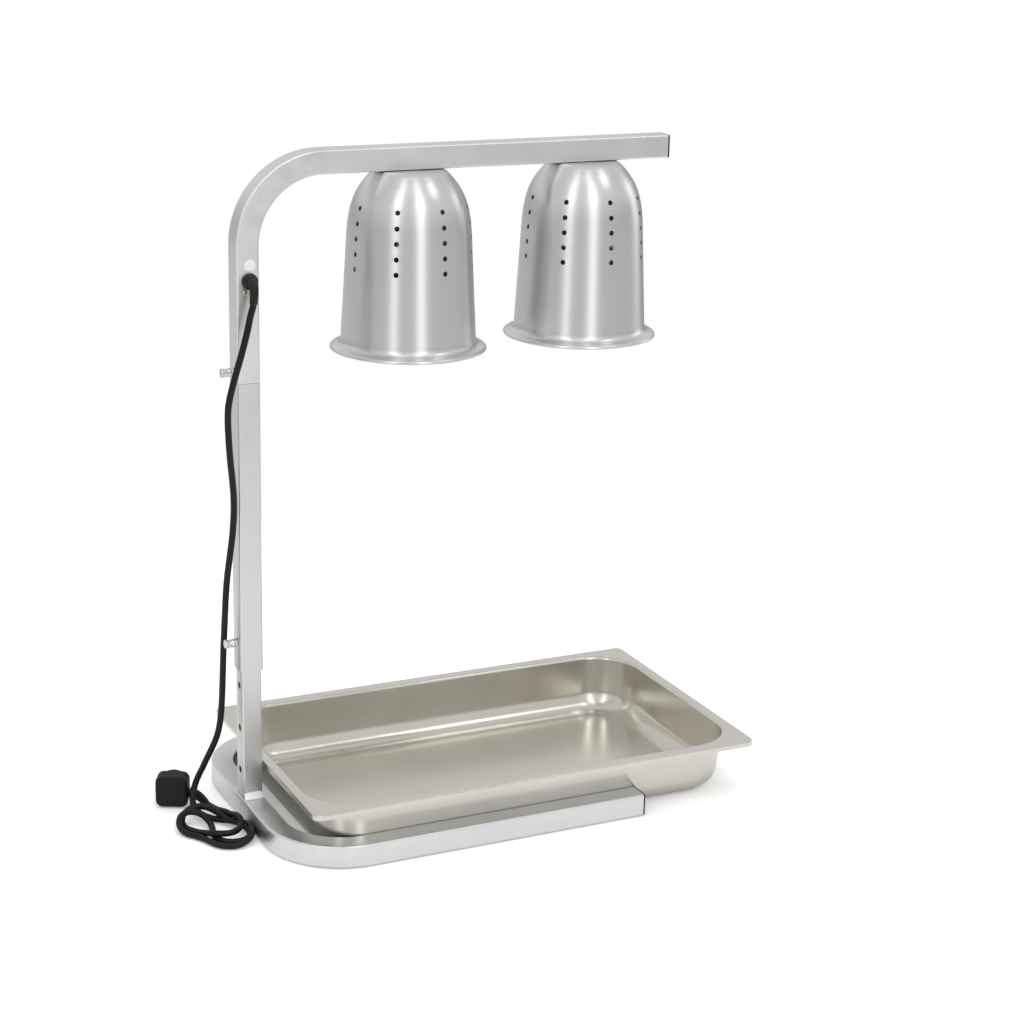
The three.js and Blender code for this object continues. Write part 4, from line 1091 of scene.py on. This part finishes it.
def plug():
    rings = []
    for x, inset in ((-12.5, 3.2), (-12.3, 2.2), (-11.6, 1.1), (-10.2, 0.35), (-8.5, 0.0), (-3.0, 0.0), (-2.6, 0.5), (-1.8, 0.5), (-1.4, 0.0), (2.0, 0.0), (2.4, 0.5), (3.2, 0.5), (3.6, 0.0), (6.8, 0.0), (8.0, 0.5), (8.5, 1.2)):
        rings.append([plug_at((x, p, q)) for p, q in square_ring(36 - 2 * inset, max(2.0, 8 - inset), 8)])
    body = loft_rings("plug_shell", rings, M_PLUG, True, 40)
    face = lathe("plug_face", [(0, 8.2), (17.0, 8.2), (17.2, 8.6), (16.9, 13.6), (16.3, 14.3), (14.4, 14.4), (14.2, 14.2), (14.0, 11.2), (0, 11.2)], M_PLUG, 56, lambda p: plug_at((p[2], p[0], p[1])), 35)
    rp2 = spline([(-51.5, 55.0, 15.0), (-47.2, 52.4, 13.6), (-42.9, 48.2, 11.0), (-40.0, 42.6, 8.4), (-38.1, 36.5, 6.15)], 0.8)
    kk = np.linspace(0, 1, len(rp2))
    rr = 6.0 - 1.8 * kk + 0.25 * (np.sin(kk * 2 * math.pi * 7) > 0.1) * (kk > 0.1) * (kk < 0.94) - 0.25
    rel = round_tube("plug_boot", rp2, rr, M_PLUG, 24, 30)
    for ob, node in ((body, "plug_body"), (face, None), (rel, "plug_relief")):
        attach(ob, "base")
        if node:
            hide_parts(node)
    return [body, face, rel]


plug_pieces = plug()

# ------------------------------------------------------------------ carried-over nodes
def dress(node, mat, bevel=0.25):
    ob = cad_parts[node]
    ob = ob if hasattr(ob, "data") else bpy.data.objects[ob]
    ob.data.materials.clear()
    ob.data.materials.append(mat)
    b = ob.modifiers.new("bevel", "BEVEL")
    b.width = bevel / 1000
    b.segments = 2
    b.limit_method = "ANGLE"
    b.angle_limit = math.radians(40)
    return ob


for n in ("foot_pad_near_end", "foot_pad_far_end", "foot_pad_near_bend", "foot_pad_far_bend"):
    dress(n, M_PAD, 0.1)
dress("spigot", M_TUBE, 0.2)
for t in ("left", "right"):
    dress(f"nipple_{t}", M_ZINC, 0.3)
    dress(f"nut_arm_{t}", M_ZINC, 0.4)
    dress(f"nut_shade_{t}", M_ZINC, 0.4)
pins = [dress(f"plug_pin_{s}", M_ZINC, 0.3) for s in ("a", "b")]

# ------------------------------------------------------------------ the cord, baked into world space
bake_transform(cord)

# ------------------------------------------------------------------ floor and light
def stage_and_light():
    m = bpy.data.materials.new("floor")
    m.use_nodes = True
    b = m.node_tree.nodes["Principled BSDF"]
    b.inputs["Base Color"].default_value = (0.93, 0.93, 0.93, 1)
    b.inputs["Roughness"].default_value = 0.9
    b.inputs["Specular IOR Level"].default_value = 0.1
    b.inputs["Emission Color"].default_value = (1, 1, 1, 1)
    # only the camera's own view of the floor is lifted to the paper white
    path = m.node_tree.nodes.new("ShaderNodeLightPath")
    lift = m.node_tree.nodes.new("ShaderNodeMapRange")
    lift.inputs["To Min"].default_value = 0.02
    lift.inputs["To Max"].default_value = 0.25
    m.node_tree.links.new(path.outputs["Is Camera Ray"], lift.inputs["Value"])
    m.node_tree.links.new(lift.outputs["Result"], b.inputs["Emission Strength"])
    me = bpy.data.meshes.new("floor")
    n, s = 96, 1.02
    me.from_pydata([(s * math.cos(2 * math.pi * i / n), s * math.sin(2 * math.pi * i / n), 0) for i in range(n)], [], [tuple(range(n))])
    me.materials.append(m)
    floor = bpy.data.objects.new("floor", me)
    floor.location.z = -0.0004
    scene.collection.objects.link(floor)

    world = bpy.data.worlds.new("studio")
    scene.world = world
    world.use_nodes = True
    t = world.node_tree
    t.nodes.clear()
    out = t.nodes.new("ShaderNodeOutputWorld")
    bg = t.nodes.new("ShaderNodeBackground")
    white = t.nodes.new("ShaderNodeBackground")
    mix = t.nodes.new("ShaderNodeMixShader")
    lp = t.nodes.new("ShaderNodeLightPath")
    tc = t.nodes.new("ShaderNodeTexCoord")
    sep = t.nodes.new("ShaderNodeSeparateXYZ")
    half = t.nodes.new("ShaderNodeMapRange")
    half.inputs["From Min"].default_value = -1.0
    ramp = t.nodes.new("ShaderNodeValToRGB")
    t.links.new(tc.outputs["Generated"], sep.inputs["Vector"])
    t.links.new(sep.outputs["Z"], half.inputs["Value"])
    t.links.new(half.outputs["Result"], ramp.inputs["Fac"])
    e = ramp.color_ramp.elements
    e[0].position, e[0].color = 0.0, (0.74, 0.74, 0.74, 1)
    e[1].position, e[1].color = 1.0, (0.76, 0.76, 0.76, 1)
    for pos, v in ((0.36, 0.76), (0.46, 0.46), (0.54, 0.48), (0.64, 0.80), (0.82, 0.72)):
        el = ramp.color_ramp.elements.new(pos)
        el.color = (v, v, v, 1)
    # the room is darker low down at the back right
    dot = t.nodes.new("ShaderNodeVectorMath")
    dot.operation = "DOT_PRODUCT"
    dot.inputs[1].default_value = (0.688, 0.664, -0.292)
    dark = t.nodes.new("ShaderNodeMapRange")
    dark.inputs["From Min"].default_value = 0.86
    dark.inputs["From Max"].default_value = 0.97
    dark.inputs["To Min"].default_value = 1.0
    dark.inputs["To Max"].default_value = 0.60
    scale = t.nodes.new("ShaderNodeVectorMath")
    scale.operation = "SCALE"
    t.links.new(tc.outputs["Generated"], dot.inputs[0])
    t.links.new(dot.outputs["Value"], dark.inputs["Value"])
    t.links.new(ramp.outputs["Color"], scale.inputs[0])
    t.links.new(dark.outputs["Result"], scale.inputs["Scale"])
    t.links.new(scale.outputs["Vector"], bg.inputs["Color"])
    bg.inputs["Strength"].default_value = 1.0
    white.inputs["Color"].default_value = (1, 1, 1, 1)
    white.inputs["Strength"].default_value = 1.0
    t.links.new(lp.outputs["Is Camera Ray"], mix.inputs["Fac"])
    t.links.new(bg.outputs["Background"], mix.inputs[1])
    t.links.new(white.outputs["Background"], mix.inputs[2])
    t.links.new(mix.outputs["Shader"], out.inputs["Surface"])

    def area(name, azimuth, elevation, dist, w, h, radiance, target=(0, 0, 0.35), glossy=True):
        """a softbox; azimuth 0 stands at -Y, positive turns towards +X"""
        a, el = math.radians(azimuth), math.radians(elevation)
        loc = Vector(target) + dist * Vector((math.sin(a) * math.cos(el), -math.cos(a) * math.cos(el), math.sin(el)))
        d = bpy.data.lights.new(name, "AREA")
        d.shape = "RECTANGLE"
        d.size, d.size_y = w, h
        d.energy = math.pi * w * h * radiance
        o = bpy.data.objects.new(name, d)
        o.location = loc
        o.rotation_euler = (Vector(target) - loc).to_track_quat("-Z", "Y").to_euler()
        o.visible_glossy = glossy
        scene.collection.objects.link(o)

    area("strip_left", -49, 12, 2.6, 0.48, 3.6, 0.98)
    area("strip_right", -3, 14, 2.6, 0.60, 3.8, 1.08)
    area("upper_left", -51, 52, 2.6, 0.34, 2.2, 1.6)
    area("upper_right", 2, 52, 2.6, 0.34, 2.2, 1.6)
    area("upper_third", 50, 56, 2.6, 0.45, 0.55, 3.0)
    area("side_right", 95, 14, 2.8, 0.9, 1.6, 0.75)
    area("top", 0, 90, 2.7, 2.6, 2.6, 1.05, (0, 0, 0.1), False)
    scene.view_settings.view_transform = "Standard"
    scene.view_settings.look = "None"
    scene.view_settings.exposure = 0.0


stage_and_light()
